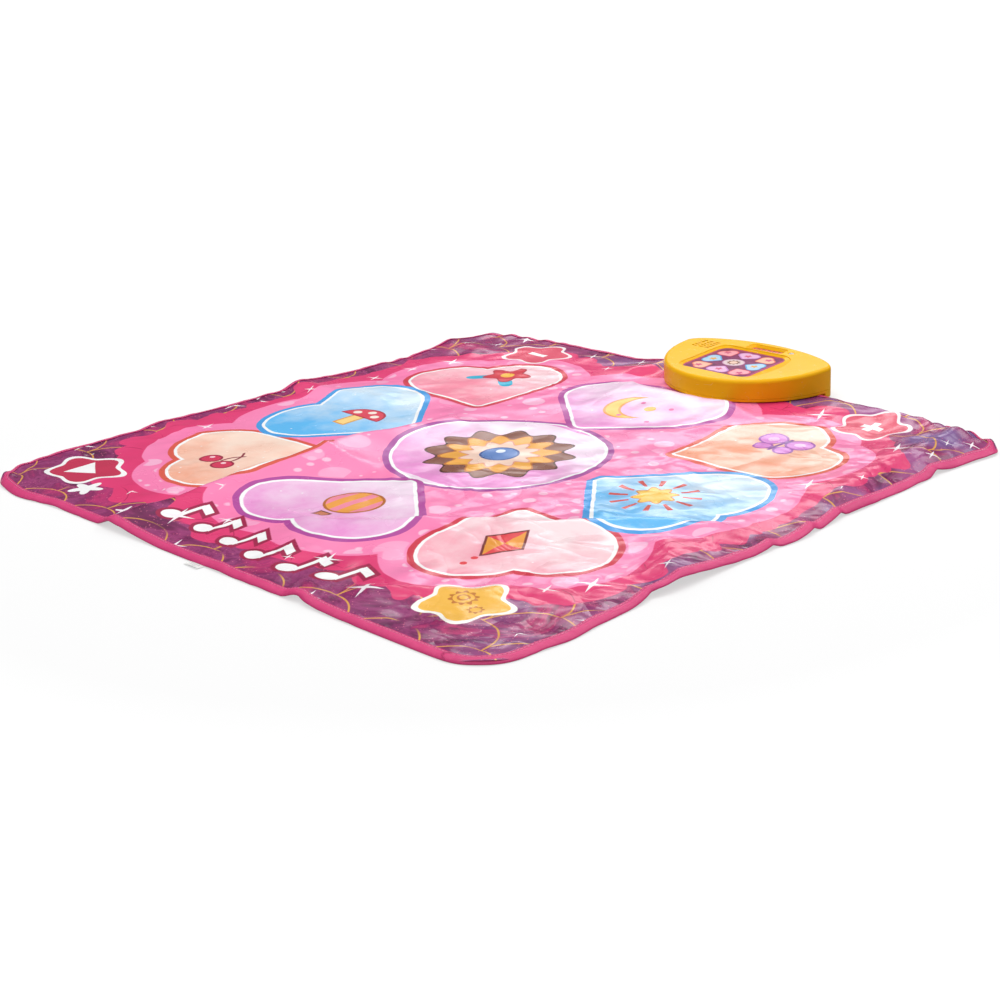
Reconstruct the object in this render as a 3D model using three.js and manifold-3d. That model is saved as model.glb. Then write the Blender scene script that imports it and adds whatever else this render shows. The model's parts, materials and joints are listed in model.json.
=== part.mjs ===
// Electronic dance mat: a padded mat that lies in low folds, with nine foot pads and four function
// keys under its cover, and a control box on its back edge.
// Millimetres, Z up. The origin lies on the floor under the middle of the mat: X runs along the front
// edge, Y from the front edge to the back edge, where the control box sits.

import * as THREE from 'three';
import { mergeVertices } from 'three/addons/utils/BufferGeometryUtils.js';
import Module from 'manifold-3d';

const wasm = await Module();
wasm.setup();

// Mat
const matWidth = 900;
const matDepth = 896;
const matCornerRadius = 55;
const hemWidth = 12;
const bindingWall = 0.5;
const bottomCoverThickness = 0.6;
const circuitFilmThickness = 0.35;
const foamThickness = 1.4;
const topCoverThickness = 0.5;
const gridPitch = 72;
const seatGap = 0.3;
const overrun = 5;

// Foot pads and function keys
const padSideMargin = 204;
const padFrontMargin = 220;
const padBackMargin = 204;
const padContactRadius = 46;
const keyContactRadius = 17;
const contactThickness = 0.4;
const contactClearance = 1.2;
const frontKeySideMargin = 114;
const frontKeyEndMargin = 103;
const backKeySideMargin = 152;
const backKeyEndMargin = 70;

// Folds that packing left in the mat
const foldHeight = 16;
const foldReach = 100;
const foldEndReach = 60;
const foldSideSharpness = 1.4;
const foldEndSharpness = 2;
const edgePull = 18;
const edgePullSpread = 90;
const edgePullSharpness = 4;

// Label sewn into the front edge
const labelWidth = 24;
const labelReach = 9;
const labelThickness = 0.4;
const labelX = 14;

// Control box outside: a half round front and a flatter back that meet at the widest line
const boxHalfWidth = 123;
const boxFrontReach = 123;
const boxBackReach = 43;
const boxFrontFullness = 2.05;
const boxBackFullness = 1.75;
const boxHeight = 34.6;
const boxTopSlope = 0.0515;
const boxRim = 5.5;
const boxWall = 2.4;
const boxX = 38.5;
const boxOverhang = 52.5;
const boxBorder = 4;
const seamHeight = 4;
const floorThickness = 2.2;
const heelGap = 1.5;
const heelFloor = 3.2;
const footThickness = 1.5;
const footRadius = 6;
const footEndMargin = 31;
const footY = 4;

// Clamp bar that holds the mat's back edge up to the control box
const clampBarLength = 196;
const clampBarWidth = 22;
const clampBarThickness = 2.4;
const clampBarFront = 62;
const clampScrewPitch = 78;
const clampBossRadius = 4.2;
const clampBossHeight = 8;

// Screws: countersunk, with a cross recess
const screwShankRadius = 1.4;
const screwHeadRadius = 2.8;
const screwHeadHeight = 1.5;
const screwLength = 12;
const screwClearance = 0.35;
const crossLength = 3.2;
const crossWidth = 0.8;
const crossDepth = 0.9;
const housingScrewLength = 16;
const housingBossRadius = 4;
const counterbore = 1.2;

// Display on the box's top, which it looks through
const displayX = -2.75;
const displayY = -43.5;
const displayHalfX = 55.25;
const displayHalfY = 49;
const displayCornerRadius = 15;
const displayDepth = 3.2;
const displayBulge = 14.5;
const displayFlare = 3;
const lensThickness = 1.6;
const lensLedge = 3;
const lensClearance = 0.3;
const seatThickness = 1.6;
const cellHeight = 8;
const cellWall = 1.2;
const cellPitchX = 37;
const cellPitchY = 33;
const boardHalfX = 57.25;
const boardHalfY = 51;
const boardThickness = 1.2;
const lightSize = 5;
const lightHeight = 1.6;
const postRadius = 3;
const postInset = 5;
const postSpanY = 32;

// Slot window behind the display
const slotX = 3;
const slotY = 21;
const slotHalfLength = 30;
const slotHalfWidth = 10;
const slotCornerRadius = 4;
const slotTaper = 3;
const slotDepth = 4;
const slotLensThickness = 1.2;
const slotLedge = 1.6;
const slotBoardThickness = 1;

// Power light beside the slot window
const powerX = 43.9;
const powerY = 21.5;
const powerRadius = 2.4;
const powerFlangeRadius = 3.6;
const powerFlangeHeight = 1;
const powerProud = 0.4;
const powerCrownRadius = 1.7;
const powerCrownDrop = 0.1;
const powerDishRadius = 5;
const powerDishDepth = 0.8;

// Speaker under its grille, in the room between the display and the box's left end
const speakerEndMargin = 23.5;
const speakerDisplayMargin = 8.5;
const speakerY = -4.5;
const speakerFlange = 2;
const speakerDepth = 13;
const magnetShare = 0.55;
const magnetHeight = 5;
const coneMargin = 3;
const coneDepth = 6;
const coneThickness = 0.6;
const dustCapShare = 0.32;
const dustCapShoulderShare = 0.6;
const dustCapShoulderHeight = 2.4;
const dustCapHeight = 3;
const speakerRibWall = 1.4;
const speakerRibHeight = 4;
const grilleRows = 5;
const grilleRowPitch = 6.2;
const grilleDashes = 3;
const grilleDashPitch = 11;
const grilleDashLength = 8.6;
const grilleDashWidth = 2.4;

// Batteries in the heel, their contacts and their door
const batteryRadius = 7.25;
const batteryLength = 50;
const batteryNubRadius = 2.7;
const batteryNubHeight = 1;
const batteryGap = 0.5;
const batteryY = 11.9;
const batteryBayWall = 1.6;
const batteryBayHeight = 12;
const contactPlateThickness = 0.5;
const contactPlateHeight = 10;
const contactSpringRadius = 3;
const contactSpringTipRadius = 1.8;
const contactSpringLength = 3;
const doorThickness = 2;
const doorWidth = 35;
const doorMargin = 3;
const doorScrewTab = 12;
const doorClearance = 0.3;
const doorGripWidth = 14;
const doorGripLength = 1.6;
const doorGripDepth = 0.8;
const doorGripCount = 4;

// Ribbon from the circuit films to the board
const ribbonWidth = 26;
const ribbonThickness = 0.4;
const ribbonY = -80;
const ribbonSlotClearance = 1.2;
const connectorWidth = 30;
const connectorDepth = 5;
const connectorHeight = 4;

// Facets
const roundSides = 14;
const smallSides = 10;
const outlineSides = 38;
const cornerFacets = 3;

// Values that follow from the sizes above
const lowerFilmLow = bottomCoverThickness + seatGap;
const foamLow = lowerFilmLow + circuitFilmThickness + seatGap;
const upperFilmLow = foamLow + foamThickness + seatGap;
const topCoverLow = upperFilmLow + circuitFilmThickness + seatGap;
const matThickness = topCoverLow + topCoverThickness;
const hemThickness = matThickness + seatGap + bindingWall;
const liftUnderBox = clampBarThickness + seatGap;
const boxBase = liftUnderBox + hemThickness + seatGap;
const boxY = matDepth / 2 + boxOverhang - boxBackReach;
const boxFrontY = boxY - boxFrontReach;
const heelFront = matDepth / 2 + heelGap - boxY;
const heelLow = footThickness - boxBase;
const padPitchX = matWidth / 2 - padSideMargin;
const padPitchY = (matDepth - padFrontMargin - padBackMargin) / 2;
const padCentreY = (padFrontMargin - padBackMargin) / 2;
const frontKeyX = matWidth / 2 - frontKeySideMargin;
const frontKeyY = frontKeyEndMargin - matDepth / 2;
const backKeyX = matWidth / 2 - backKeySideMargin;
const backKeyY = matDepth / 2 - backKeyEndMargin;
const contactHigh = upperFilmLow - seatGap;
const contactLow = contactHigh - contactThickness;
const clampBarY = matDepth / 2 - clampBarFront;
const deckTilt = Math.atan(boxTopSlope);
const displayLeft = displayX - displayHalfX;
const speakerRadius = (boxHalfWidth - speakerEndMargin - speakerDisplayMargin + displayLeft) / 2;
const footX = boxHalfWidth - footEndMargin;
const speakerX = displayLeft - speakerDisplayMargin - speakerRadius;
const magnetRadius = speakerRadius * magnetShare;
const coneRadius = speakerRadius - coneMargin;
const dustCapRadius = coneRadius * dustCapShare;

// Where the folds run, as shares of half the mat's width and depth; the heights of their two ends, as
// shares of foldHeight; how far they reach to their left and right, as shares of foldReach
const foldShares = [
  { from: [-0.34, -1.03], to: [-0.37, -0.29], heights: [0.56, 1], reach: [0.22, 1] },
  { from: [-0.37, -0.29], to: [-0.33, 0.14], heights: [1, 0.55], reach: [0.22, 1] },
  { from: [0.04, -0.68], to: [0.84, -0.08], heights: [0.5, 0.85], reach: [0.3, 1.1] },
  { from: [1.02, -0.43], to: [0.83, -0.24], heights: [0.67, 0.8], reach: [0.45, 0.9] },
  { from: [-1.02, 0.1], to: [-0.66, 0.14], heights: [0.55, 0.3], reach: [1, 0.25] },
  { from: [-1.02, -0.41], to: [-0.72, -0.38], heights: [0.33, 0.15], reach: [0.7, 0.3] },
  { from: [-1.02, 0.76], to: [-0.84, 0.76], heights: [0.5, 0.4], reach: [0.5, 0.4] },
  { from: [0.91, 0.24], to: [0.89, 0.9], heights: [0.6, 0.95], reach: [1, 0.42] },
  { from: [0.42, 0.95], to: [0.9, 0.92], heights: [0.55, 0.75], reach: [0.2, 0.6] },
  { from: [-0.14, 0.71], to: [0.25, 0.71], heights: [0.7, 0.75], reach: [0.2, 1.1] },
  { from: [-0.25, 0.86], to: [-0.24, 1], heights: [0.6, 0.5], reach: [0.6, 0.18] },
];

// Where ripples draw an edge in, or out where the depth is below 0: the axis across it and its side, the
// place along it as a share of half the mat, and the depth and spread as shares of edgePull and
// edgePullSpread
const pullShares = [
  { across: 'y', side: 1, at: -0.93, depth: 1, spread: 1 },
  { across: 'y', side: 1, at: 1, depth: 1.8, spread: 1.6 },
  { across: 'x', side: 1, at: 0.03, depth: -0.4, spread: 0.6 },
  { across: 'x', side: 1, at: -0.75, depth: -0.3, spread: 0.4 },
  { across: 'x', side: 1, at: 0.95, depth: -0.6, spread: 0.8 },
  { across: 'x', side: -1, at: 0.52, depth: 0.45, spread: 0.45 },
  { across: 'y', side: -1, at: -0.77, depth: -0.5, spread: 0.5 },
  { across: 'x', side: -1, at: -1, depth: 1.2, spread: 0.7 },
  { across: 'y', side: -1, at: 1, depth: 0.2, spread: 0.5 },
];

// Places on the mat where grid lines run, as shares of half its width and depth, to catch the folds
const creaseSharesX = [-0.35];
const creaseSharesY = [-0.43, 0.1, 0.93];

// Places of the housing screws, as shares of the box's half width and front reach
const housingScrewShares = [[-0.76, -0.46], [0.76, -0.46], [-0.88, -0.18], [0.88, -0.18]];

// The rim of the box's top turns from upright to level through these shares of a quarter turn
const rimTurnShares = [0, 0.45, 1];

// Columns and rows of the nine pads count from -1 to 1
const steps = [-1, 0, 1];

const plastic = (color, roughness) => new THREE.MeshStandardMaterial({ color, roughness, metalness: 0 });
const metal = (color, roughness) => new THREE.MeshStandardMaterial({ color, roughness, metalness: 1 });
const looks = {
  print: plastic(0xef5a9c, 0.3),
  binding: plastic(0xf0478a, 0.45),
  backing: plastic(0x55505a, 0.8),
  film: plastic(0xdfe3e6, 0.35),
  foam: plastic(0xf4f1ea, 0.9),
  ink: plastic(0x34363a, 0.6),
  cloth: plastic(0xf6f6f4, 0.8),
  housing: plastic(0xffc93a, 0.4),
  lens: plastic(0x8a3f86, 0.2),
  white: plastic(0xf2f2ee, 0.5),
  board: plastic(0x1f6b45, 0.5),
  black: plastic(0x202124, 0.5),
  rubber: plastic(0x3a3a3c, 0.9),
  paper: plastic(0x4b4238, 0.85),
  cell: plastic(0x2e5fa8, 0.35),
  steel: metal(0xc4c6c9, 0.3),
};

// Turns a closed geometry into a solid that can be cut and joined
function solidOf(geometry) {
  const bare = geometry.clone();
  bare.deleteAttribute('normal');
  bare.deleteAttribute('uv');
  const merged = mergeVertices(bare);
  return new wasm.Manifold(new wasm.Mesh({
    numProp: 3,
    vertProperties: new Float32Array(merged.attributes.position.array),
    triVerts: new Uint32Array(merged.index.array),
  }));
}

function meshOf(name, solid, material) {
  const data = solid.getMesh();
  const geometry = new THREE.BufferGeometry();
  geometry.setAttribute('position', new THREE.BufferAttribute(new Float32Array(data.vertProperties), 3));
  geometry.setIndex(new THREE.BufferAttribute(new Uint32Array(data.triVerts), 1));
  geometry.computeVertexNormals();
  const mesh = new THREE.Mesh(geometry, material);
  mesh.name = name;
  return mesh;
}

function joined(solids) {
  return solids.reduce((whole, solid) => whole.add(solid));
}

// A box between two corners
function block(low, high) {
  const size = high.map((value, axis) => value - low[axis]);
  const geometry = new THREE.BoxGeometry(...size);
  geometry.translate(...low.map((value, axis) => value + size[axis] / 2));
  return geometry;
}

// An upright cylinder from one height to another
function post(x, y, low, high, radius, sides = smallSides) {
  const geometry = new THREE.CylinderGeometry(radius, radius, high - low, sides);
  geometry.rotateX(Math.PI / 2);
  geometry.translate(x, y, (low + high) / 2);
  return geometry;
}

// A turned piece on the Z axis from [radius, height] pairs
function turned(profile, sides) {
  const geometry = new THREE.LatheGeometry(profile.map(([r, z]) => new THREE.Vector2(r, z)), sides);
  geometry.rotateX(Math.PI / 2);
  return geometry;
}

// A closed body through rings that all have the same number of points
function loft(rings) {
  const count = rings[0].length;
  const positions = rings.flat().flatMap((point) => point.toArray());
  const index = [];
  for (let ring = 0; ring + 1 < rings.length; ring++) {
    for (let k = 0; k < count; k++) {
      const a = ring * count + k;
      const b = ring * count + (k + 1) % count;
      index.push(a, b, b + count, a, b + count, a + count);
    }
  }
  const capStart = positions.length / 3;
  for (const ring of [rings[0], rings[rings.length - 1]]) {
    const middle = ring.reduce((sum, point) => sum.add(point), new THREE.Vector3()).divideScalar(count);
    positions.push(...middle.toArray());
  }
  const lastRing = (rings.length - 1) * count;
  for (let k = 0; k < count; k++) {
    const next = (k + 1) % count;
    index.push(capStart, next, k, capStart + 1, lastRing + k, lastRing + next);
  }
  const geometry = new THREE.BufferGeometry();
  geometry.setAttribute('position', new THREE.Float32BufferAttribute(positions, 3));
  geometry.setIndex(index);
  return geometry;
}

// The mat: how its flat layers lie

const halfWidth = matWidth / 2;
const halfDepth = matDepth / 2;
const hemHalfWidth = halfWidth - hemWidth;
const hemHalfDepth = halfDepth - hemWidth;
const hemCornerRadius = matCornerRadius - hemWidth;
const pressed = {
  left: boxX - boxHalfWidth - boxBorder,
  right: boxX + boxHalfWidth + boxBorder,
  front: boxFrontY - boxBorder,
};

// Height of one fold above the floor
function foldLift({ from, to, heights, reach }, x, y) {
  const start = [from[0] * halfWidth, from[1] * halfDepth];
  const run = [to[0] * halfWidth - start[0], to[1] * halfDepth - start[1]];
  const length = Math.hypot(...run);
  const along = ((x - start[0]) * run[0] + (y - start[1]) * run[1]) / length;
  const left = ((y - start[1]) * run[0] - (x - start[0]) * run[1]) / length;
  const share = Math.min(Math.max(along / length, 0), 1);
  const past = Math.abs(along - share * length) / foldEndReach;
  const aside = Math.abs(left) / (foldReach * (left > 0 ? reach[0] : reach[1]));
  const crest = foldHeight * (heights[0] + (heights[1] - heights[0]) * share);
  return crest * Math.max(1 - aside, 0) ** foldSideSharpness * Math.max(1 - past, 0) ** foldEndSharpness;
}

// Height of the mat's underside above the floor: flat on its clamp bar under the box, and else in folds
function lift(x, y) {
  if (x >= pressed.left && x <= pressed.right && y >= pressed.front) return liftUnderBox;
  const cubes = foldShares.reduce((sum, fold) => sum + foldLift(fold, x, y) ** 3, 0);
  return Math.cbrt(cubes);
}

// Where a point of the flat mat comes to lie in plan
function drawnIn(x, y) {
  const place = { x, y };
  for (const { across, side, at, depth, spread } of pullShares) {
    const [reached, half, along, halfAlong] = across === 'x'
      ? [x, halfWidth, y, halfDepth] : [y, halfDepth, x, halfWidth];
    const outer = Math.max(side * reached / half, 0) ** edgePullSharpness;
    const away = (along - at * halfAlong) / (edgePullSpread * spread);
    place[across] -= side * edgePull * depth * outer * Math.exp(-away * away);
  }
  return place;
}

// Grid lines from one edge to the other that stop at each given place
function gridLines(stops) {
  const sorted = [...stops].sort((a, b) => a - b);
  const lines = [sorted[0]];
  for (let k = 1; k < sorted.length; k++) {
    const span = sorted[k] - sorted[k - 1];
    const cells = Math.max(Math.round(span / gridPitch), 1);
    for (let cell = 1; cell <= cells; cell++) lines.push(sorted[k - 1] + span * cell / cells);
  }
  return lines;
}

const cornerStops = (half) => [half, half - hemCornerRadius / 2, half - hemCornerRadius];
const linesX = gridLines([
  ...cornerStops(hemHalfWidth), ...cornerStops(hemHalfWidth).map((stop) => -stop),
  pressed.left, pressed.right, ...creaseSharesX.map((share) => share * halfWidth),
]);
const linesY = gridLines([
  ...cornerStops(hemHalfDepth), ...cornerStops(hemHalfDepth).map((stop) => -stop),
  pressed.front, ...creaseSharesY.map((share) => share * halfDepth),
]);

// A node of the grid: its square corners are bent to the round corners of the hem line
function gridNode(i, j) {
  const x = linesX[i];
  const y = linesY[j];
  const centreX = hemHalfWidth - hemCornerRadius;
  const centreY = hemHalfDepth - hemCornerRadius;
  const s = Math.max(Math.abs(x) - centreX, 0) / hemCornerRadius;
  const t = Math.max(Math.abs(y) - centreY, 0) / hemCornerRadius;
  const inCorner = s > 0 && t > 0;
  const flatX = inCorner ? Math.sign(x) * (centreX + hemCornerRadius * s * Math.sqrt(1 - t * t / 2)) : x;
  const flatY = inCorner ? Math.sign(y) * (centreY + hemCornerRadius * t * Math.sqrt(1 - s * s / 2)) : y;
  const outward = new THREE.Vector2(
    Math.sign(x) * Math.max(Math.abs(flatX) - centreX, 0),
    Math.sign(y) * Math.max(Math.abs(flatY) - centreY, 0),
  ).normalize();
  return { ...drawnIn(flatX, flatY), height: lift(flatX, flatY), outward };
}

const columns = linesX.length;
const rows = linesY.length;
const grid = linesX.map((_, i) => linesY.map((__, j) => gridNode(i, j)));

// The grid's edge nodes, anticlockwise from the front left corner
const edgeIndex = [
  ...linesX.slice(1).map((_, k) => [k, 0]),
  ...linesY.slice(1).map((_, k) => [columns - 1, k]),
  ...linesX.slice(1).map((_, k) => [columns - 1 - k, rows - 1]),
  ...linesY.slice(1).map((_, k) => [0, rows - 1 - k]),
];

function pushedOut(node, reach, z) {
  return [node.x + node.outward.x * reach, node.y + node.outward.y * reach, node.height + z];
}

// One layer of the mat between two heights over its underside. It ends short of the hem line by a
// negative reach, or runs past it into the hem by a positive one.
function layer(low, high, reach) {
  const positions = [];
  const index = [];
  const isEdge = (i, j) => i === 0 || j === 0 || i === columns - 1 || j === rows - 1;
  for (const z of [low, high]) {
    for (let i = 0; i < columns; i++) {
      for (let j = 0; j < rows; j++) {
        positions.push(...pushedOut(grid[i][j], isEdge(i, j) && reach < 0 ? reach : 0, z));
      }
    }
  }
  const sheetSize = columns * rows;
  const at = (i, j) => i * rows + j;
  const quad = (a, b, c, d) => index.push(a, b, c, a, c, d);
  for (let i = 0; i + 1 < columns; i++) {
    for (let j = 0; j + 1 < rows; j++) {
      const [a, b, c, d] = [at(i, j), at(i + 1, j), at(i + 1, j + 1), at(i, j + 1)];
      quad(a + sheetSize, b + sheetSize, c + sheetSize, d + sheetSize);
      quad(a, d, c, b);
    }
  }
  let rim = edgeIndex.map(([i, j]) => at(i, j));
  let rimHigh = rim.map((corner) => corner + sheetSize);
  if (reach > 0) {
    const start = positions.length / 3;
    const count = edgeIndex.length;
    for (const z of [low, high]) {
      for (const [i, j] of edgeIndex) positions.push(...pushedOut(grid[i][j], reach, z));
    }
    const outer = edgeIndex.map((_, k) => start + k);
    const outerHigh = outer.map((corner) => corner + count);
    for (let k = 0; k < count; k++) {
      const next = (k + 1) % count;
      quad(rimHigh[k], outerHigh[k], outerHigh[next], rimHigh[next]);
      quad(rim[k], rim[next], outer[next], outer[k]);
    }
    rim = outer;
    rimHigh = outerHigh;
  }
  for (let k = 0; k < rim.length; k++) {
    const next = (k + 1) % rim.length;
    quad(rim[k], rim[next], rimHigh[next], rimHigh[k]);
  }
  const geometry = new THREE.BufferGeometry();
  geometry.setAttribute('position', new THREE.Float32BufferAttribute(positions, 3));
  geometry.setIndex(index);
  return solidOf(geometry);
}

// The binding folds round the mat's edge: its section, as reach past the hem line and height
function edgeBinding() {
  const innerWall = hemWidth - bindingWall;
  const upperLow = hemThickness - bindingWall;
  const section = [
    [hemWidth, 0], [hemWidth, hemThickness], [0, hemThickness], [0, upperLow],
    [innerWall, upperLow], [innerWall, bindingWall], [0, bindingWall], [0, 0],
  ];
  const positions = edgeIndex.flatMap(([i, j]) => (
    section.flatMap(([reach, z]) => pushedOut(grid[i][j], reach, z))
  ));
  const index = [];
  const count = section.length;
  for (let k = 0; k < edgeIndex.length; k++) {
    for (let m = 0; m < count; m++) {
      const a = k * count + m;
      const b = k * count + (m + 1) % count;
      const c = ((k + 1) % edgeIndex.length) * count + (m + 1) % count;
      const d = ((k + 1) % edgeIndex.length) * count + m;
      index.push(a, d, c, a, c, b);
    }
  }
  const geometry = new THREE.BufferGeometry();
  geometry.setAttribute('position', new THREE.Float32BufferAttribute(positions, 3));
  geometry.setIndex(index);
  return solidOf(geometry);
}

// Pads and keys: name, place on the flat mat and contact radius
const columnNames = ['left', 'middle', 'right'];
const rowNames = ['front', 'centre', 'back'];
const touchPlaces = [
  ...steps.flatMap((row) => steps.map((column) => ({
    name: `pad_${rowNames[row + 1]}_${columnNames[column + 1]}`,
    flat: [column * padPitchX, padCentreY + row * padPitchY],
    radius: padContactRadius,
  }))),
  { name: 'key_start', flat: [-frontKeyX, frontKeyY], radius: keyContactRadius },
  { name: 'key_mode', flat: [frontKeyX, frontKeyY], radius: keyContactRadius },
  { name: 'key_volume_down', flat: [-backKeyX, backKeyY], radius: keyContactRadius },
  { name: 'key_volume_up', flat: [backKeyX, backKeyY], radius: keyContactRadius },
];
const matTop = foldHeight * 2;

// A tool that cuts through every layer of the mat at a touch place
function throughMat({ flat, radius }, margin) {
  const { x, y } = drawnIn(...flat);
  return solidOf(post(x, y, -overrun, matTop, radius + margin, roundSides));
}

const clampScrewPlaces = steps.map((step) => [boxX + step * clampScrewPitch, clampBarY]);
const clampHoles = joined(clampScrewPlaces.map(([x, y]) => (
  solidOf(post(x, y, -overrun, matTop, screwShankRadius + screwClearance))
)));
const ribbonPlace = [boxX, boxY + ribbonY];
const ribbonSlot = solidOf(block(
  [ribbonPlace[0] - ribbonWidth / 2 - ribbonSlotClearance, ribbonPlace[1] - ribbonSlotClearance, -overrun],
  [ribbonPlace[0] + ribbonWidth / 2 + ribbonSlotClearance, ribbonPlace[1] + ribbonSlotClearance, matTop],
));

const mat = new THREE.Group();

function addMatLayers() {
  const short = -seatGap;
  const intoHem = hemWidth - bindingWall - seatGap;
  const bottomCover = layer(0, bottomCoverThickness, short);
  const lowerFilm = layer(lowerFilmLow, lowerFilmLow + circuitFilmThickness, short);
  const foam = layer(foamLow, foamLow + foamThickness, short);
  const upperFilm = layer(upperFilmLow, upperFilmLow + circuitFilmThickness, short);
  const topCover = layer(topCoverLow, matThickness, intoHem);
  const foamHoles = joined(touchPlaces.map((place) => throughMat(place, contactClearance)));
  const holes = clampHoles.add(ribbonSlot);
  mat.add(meshOf('bottom_cover', bottomCover.subtract(clampHoles), looks.backing));
  mat.add(meshOf('lower_circuit_film', lowerFilm.subtract(clampHoles), looks.film));
  mat.add(meshOf('foam_spacer', foam.subtract(foamHoles.add(holes)), looks.foam));
  mat.add(meshOf('upper_circuit_film', upperFilm.subtract(holes), looks.film));
  mat.add(meshOf('top_cover', topCover.subtract(holes), looks.print));
  mat.add(meshOf('edge_binding', edgeBinding(), looks.binding));
}

// Each contact patch is a disc of a thin layer in its hole in the foam, so it lies as the mat lies
function addContacts() {
  const patchLayer = layer(contactLow, contactHigh, -seatGap);
  for (const place of touchPlaces) {
    mat.add(meshOf(`${place.name}_contact`, patchLayer.intersect(throughMat(place, 0)), looks.ink));
  }
}

function addLabel() {
  const edge = -halfDepth - seatGap;
  const height = labelThickness + seatGap;
  const tag = block(
    [labelX - labelWidth / 2, edge - labelReach, seatGap],
    [labelX + labelWidth / 2, edge, height],
  );
  mat.add(meshOf('care_label', solidOf(tag), looks.cloth));
}

// Screws

function screwSolid(length) {
  const body = solidOf(turned([
    [0, 0], [screwHeadRadius, 0], [screwShankRadius, screwHeadHeight],
    [screwShankRadius, length], [0, length],
  ], smallSides));
  const half = crossLength / 2;
  const thin = crossWidth / 2;
  const alongX = solidOf(block([-half, -thin, -overrun], [half, thin, crossDepth]));
  const alongY = solidOf(block([-thin, -half, -overrun], [thin, half, crossDepth]));
  return body.subtract(alongX.add(alongY));
}

// The countersunk hole that takes such a screw, from its head's face up
function screwHole(x, y, z, length) {
  const grown = screwHeadRadius + screwClearance;
  const shank = screwShankRadius + screwClearance;
  const geometry = turned([
    [0, -overrun], [grown, -overrun], [grown, 0],
    [shank, screwHeadHeight + screwClearance], [shank, length], [0, length],
  ], smallSides);
  geometry.translate(x, y, z);
  return solidOf(geometry);
}

function addScrew(group, name, solid, x, y, z) {
  const screw = meshOf(name, solid, looks.steel);
  screw.position.set(x, y, z);
  group.add(screw);
}

const clampScrewStart = seatGap;
const clampScrew = screwSolid(screwLength);

function addClampBar() {
  const left = boxX - clampBarLength / 2;
  const front = clampBarY - clampBarWidth / 2;
  const bar = solidOf(block(
    [left, front, 0], [left + clampBarLength, front + clampBarWidth, clampBarThickness],
  ));
  const holes = clampScrewPlaces.map(([x, y]) => screwHole(x, y, clampScrewStart, screwLength));
  mat.add(meshOf('mat_clamp_bar', bar.subtract(joined(holes)), looks.black));
  clampScrewPlaces.forEach(([x, y], k) => (
    addScrew(mat, `clamp_screw_${k + 1}`, clampScrew, x, y, clampScrewStart)
  ));
}

// Control box, in its own frame: the origin is on its widest line, at its base

// Outline of the box, drawn in by an inset, with each point's height from a function of its Y
function boxRing(inset, heightAt) {
  const a = boxHalfWidth - inset;
  const curve = (value, exponent) => Math.sign(value) * Math.abs(value) ** exponent;
  return Array.from({ length: outlineSides }, (_, k) => {
    const angle = 2 * Math.PI * k / outlineSides;
    const back = Math.sin(angle) > 0;
    const exponent = 2 / (back ? boxBackFullness : boxFrontFullness);
    const b = (back ? boxBackReach : boxFrontReach) - inset;
    const y = b * curve(Math.sin(angle), exponent);
    return new THREE.Vector3(a * curve(Math.cos(angle), exponent), y, heightAt(y));
  });
}

const level = (z) => () => z;
const underTop = (drop) => (y) => boxHeight - drop + boxTopSlope * y;
const roundedRim = rimTurnShares.map((share) => {
  const angle = share * Math.PI / 2;
  return boxRing(boxRim * (1 - Math.cos(angle)), underTop(boxRim * (1 - Math.sin(angle))));
});

// Tools cut into the top are made on a level deck and then tilted to the top's slope
function onDeck(geometry) {
  geometry.rotateX(deckTilt);
  geometry.translate(0, 0, boxHeight);
  return solidOf(geometry);
}

// A rectangle with round corners, at one height; its right side can swell
function squareRing(x, y, halfX, halfY, radius, z, swell = 0) {
  const points = [];
  const corners = [[1, 1], [-1, 1], [-1, -1], [1, -1]];
  corners.forEach(([sideX, sideY], quarter) => {
    for (let k = 0; k <= cornerFacets; k++) {
      const angle = (quarter + k / cornerFacets) * Math.PI / 2;
      points.push([
        sideX * (halfX - radius) + radius * Math.cos(angle),
        sideY * (halfY - radius) + radius * Math.sin(angle),
      ]);
    }
    if (sideX === -1 && sideY === 1) points.push([-halfX, 0]);
    if (sideX === 1 && sideY === -1) points.push([halfX, 0]);
  });
  return points.map(([px, py]) => {
    const swollen = px > 0 ? swell * Math.max(1 - (py / halfY) ** 2, 0) : 0;
    return new THREE.Vector3(x + px + swollen, y + py, z);
  });
}

const squarePrism = (x, y, halfX, halfY, radius, low, high) => loft([
  squareRing(x, y, halfX, halfY, radius, low),
  squareRing(x, y, halfX, halfY, radius, high),
]);

const lensTop = -displayDepth;
const lensLow = lensTop - lensThickness;
const displaySeatTop = lensLow - seatGap;
const cellTop = displaySeatTop - seatThickness - seatGap;
const boardTop = cellTop - cellHeight - seatGap;
const boardLow = boardTop - boardThickness;
const slotLensLow = -slotDepth - slotLensThickness;
const slotSeatTop = slotLensLow - seatGap;
const slotBoardTop = slotSeatTop - seatThickness - seatGap;
const slotFloorX = slotHalfLength - slotTaper;
const slotFloorY = slotHalfWidth - slotTaper;
const slotBoardMargin = slotLedge;
const powerSeatTop = -powerDishDepth - powerFlangeHeight - seatGap;

// Openings in the top: what is cut away through and into the deck
function displayOpening() {
  const rim = (z) => squareRing(
    displayX, displayY, displayHalfX + displayFlare, displayHalfY + displayFlare, displayCornerRadius, z,
    displayBulge,
  );
  const foot = squareRing(displayX, displayY, displayHalfX, displayHalfY, displayCornerRadius, lensTop);
  const bowl = onDeck(loft([foot, rim(0), rim(overrun)]));
  const seat = onDeck(squarePrism(
    displayX, displayY, displayHalfX, displayHalfY, displayCornerRadius, displaySeatTop, lensTop + overrun,
  ));
  const window = onDeck(squarePrism(
    displayX, displayY, displayHalfX - lensLedge, displayHalfY - lensLedge,
    displayCornerRadius - lensLedge, displaySeatTop - seatThickness - overrun, 0,
  ));
  return joined([bowl, seat, window]);
}

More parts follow.
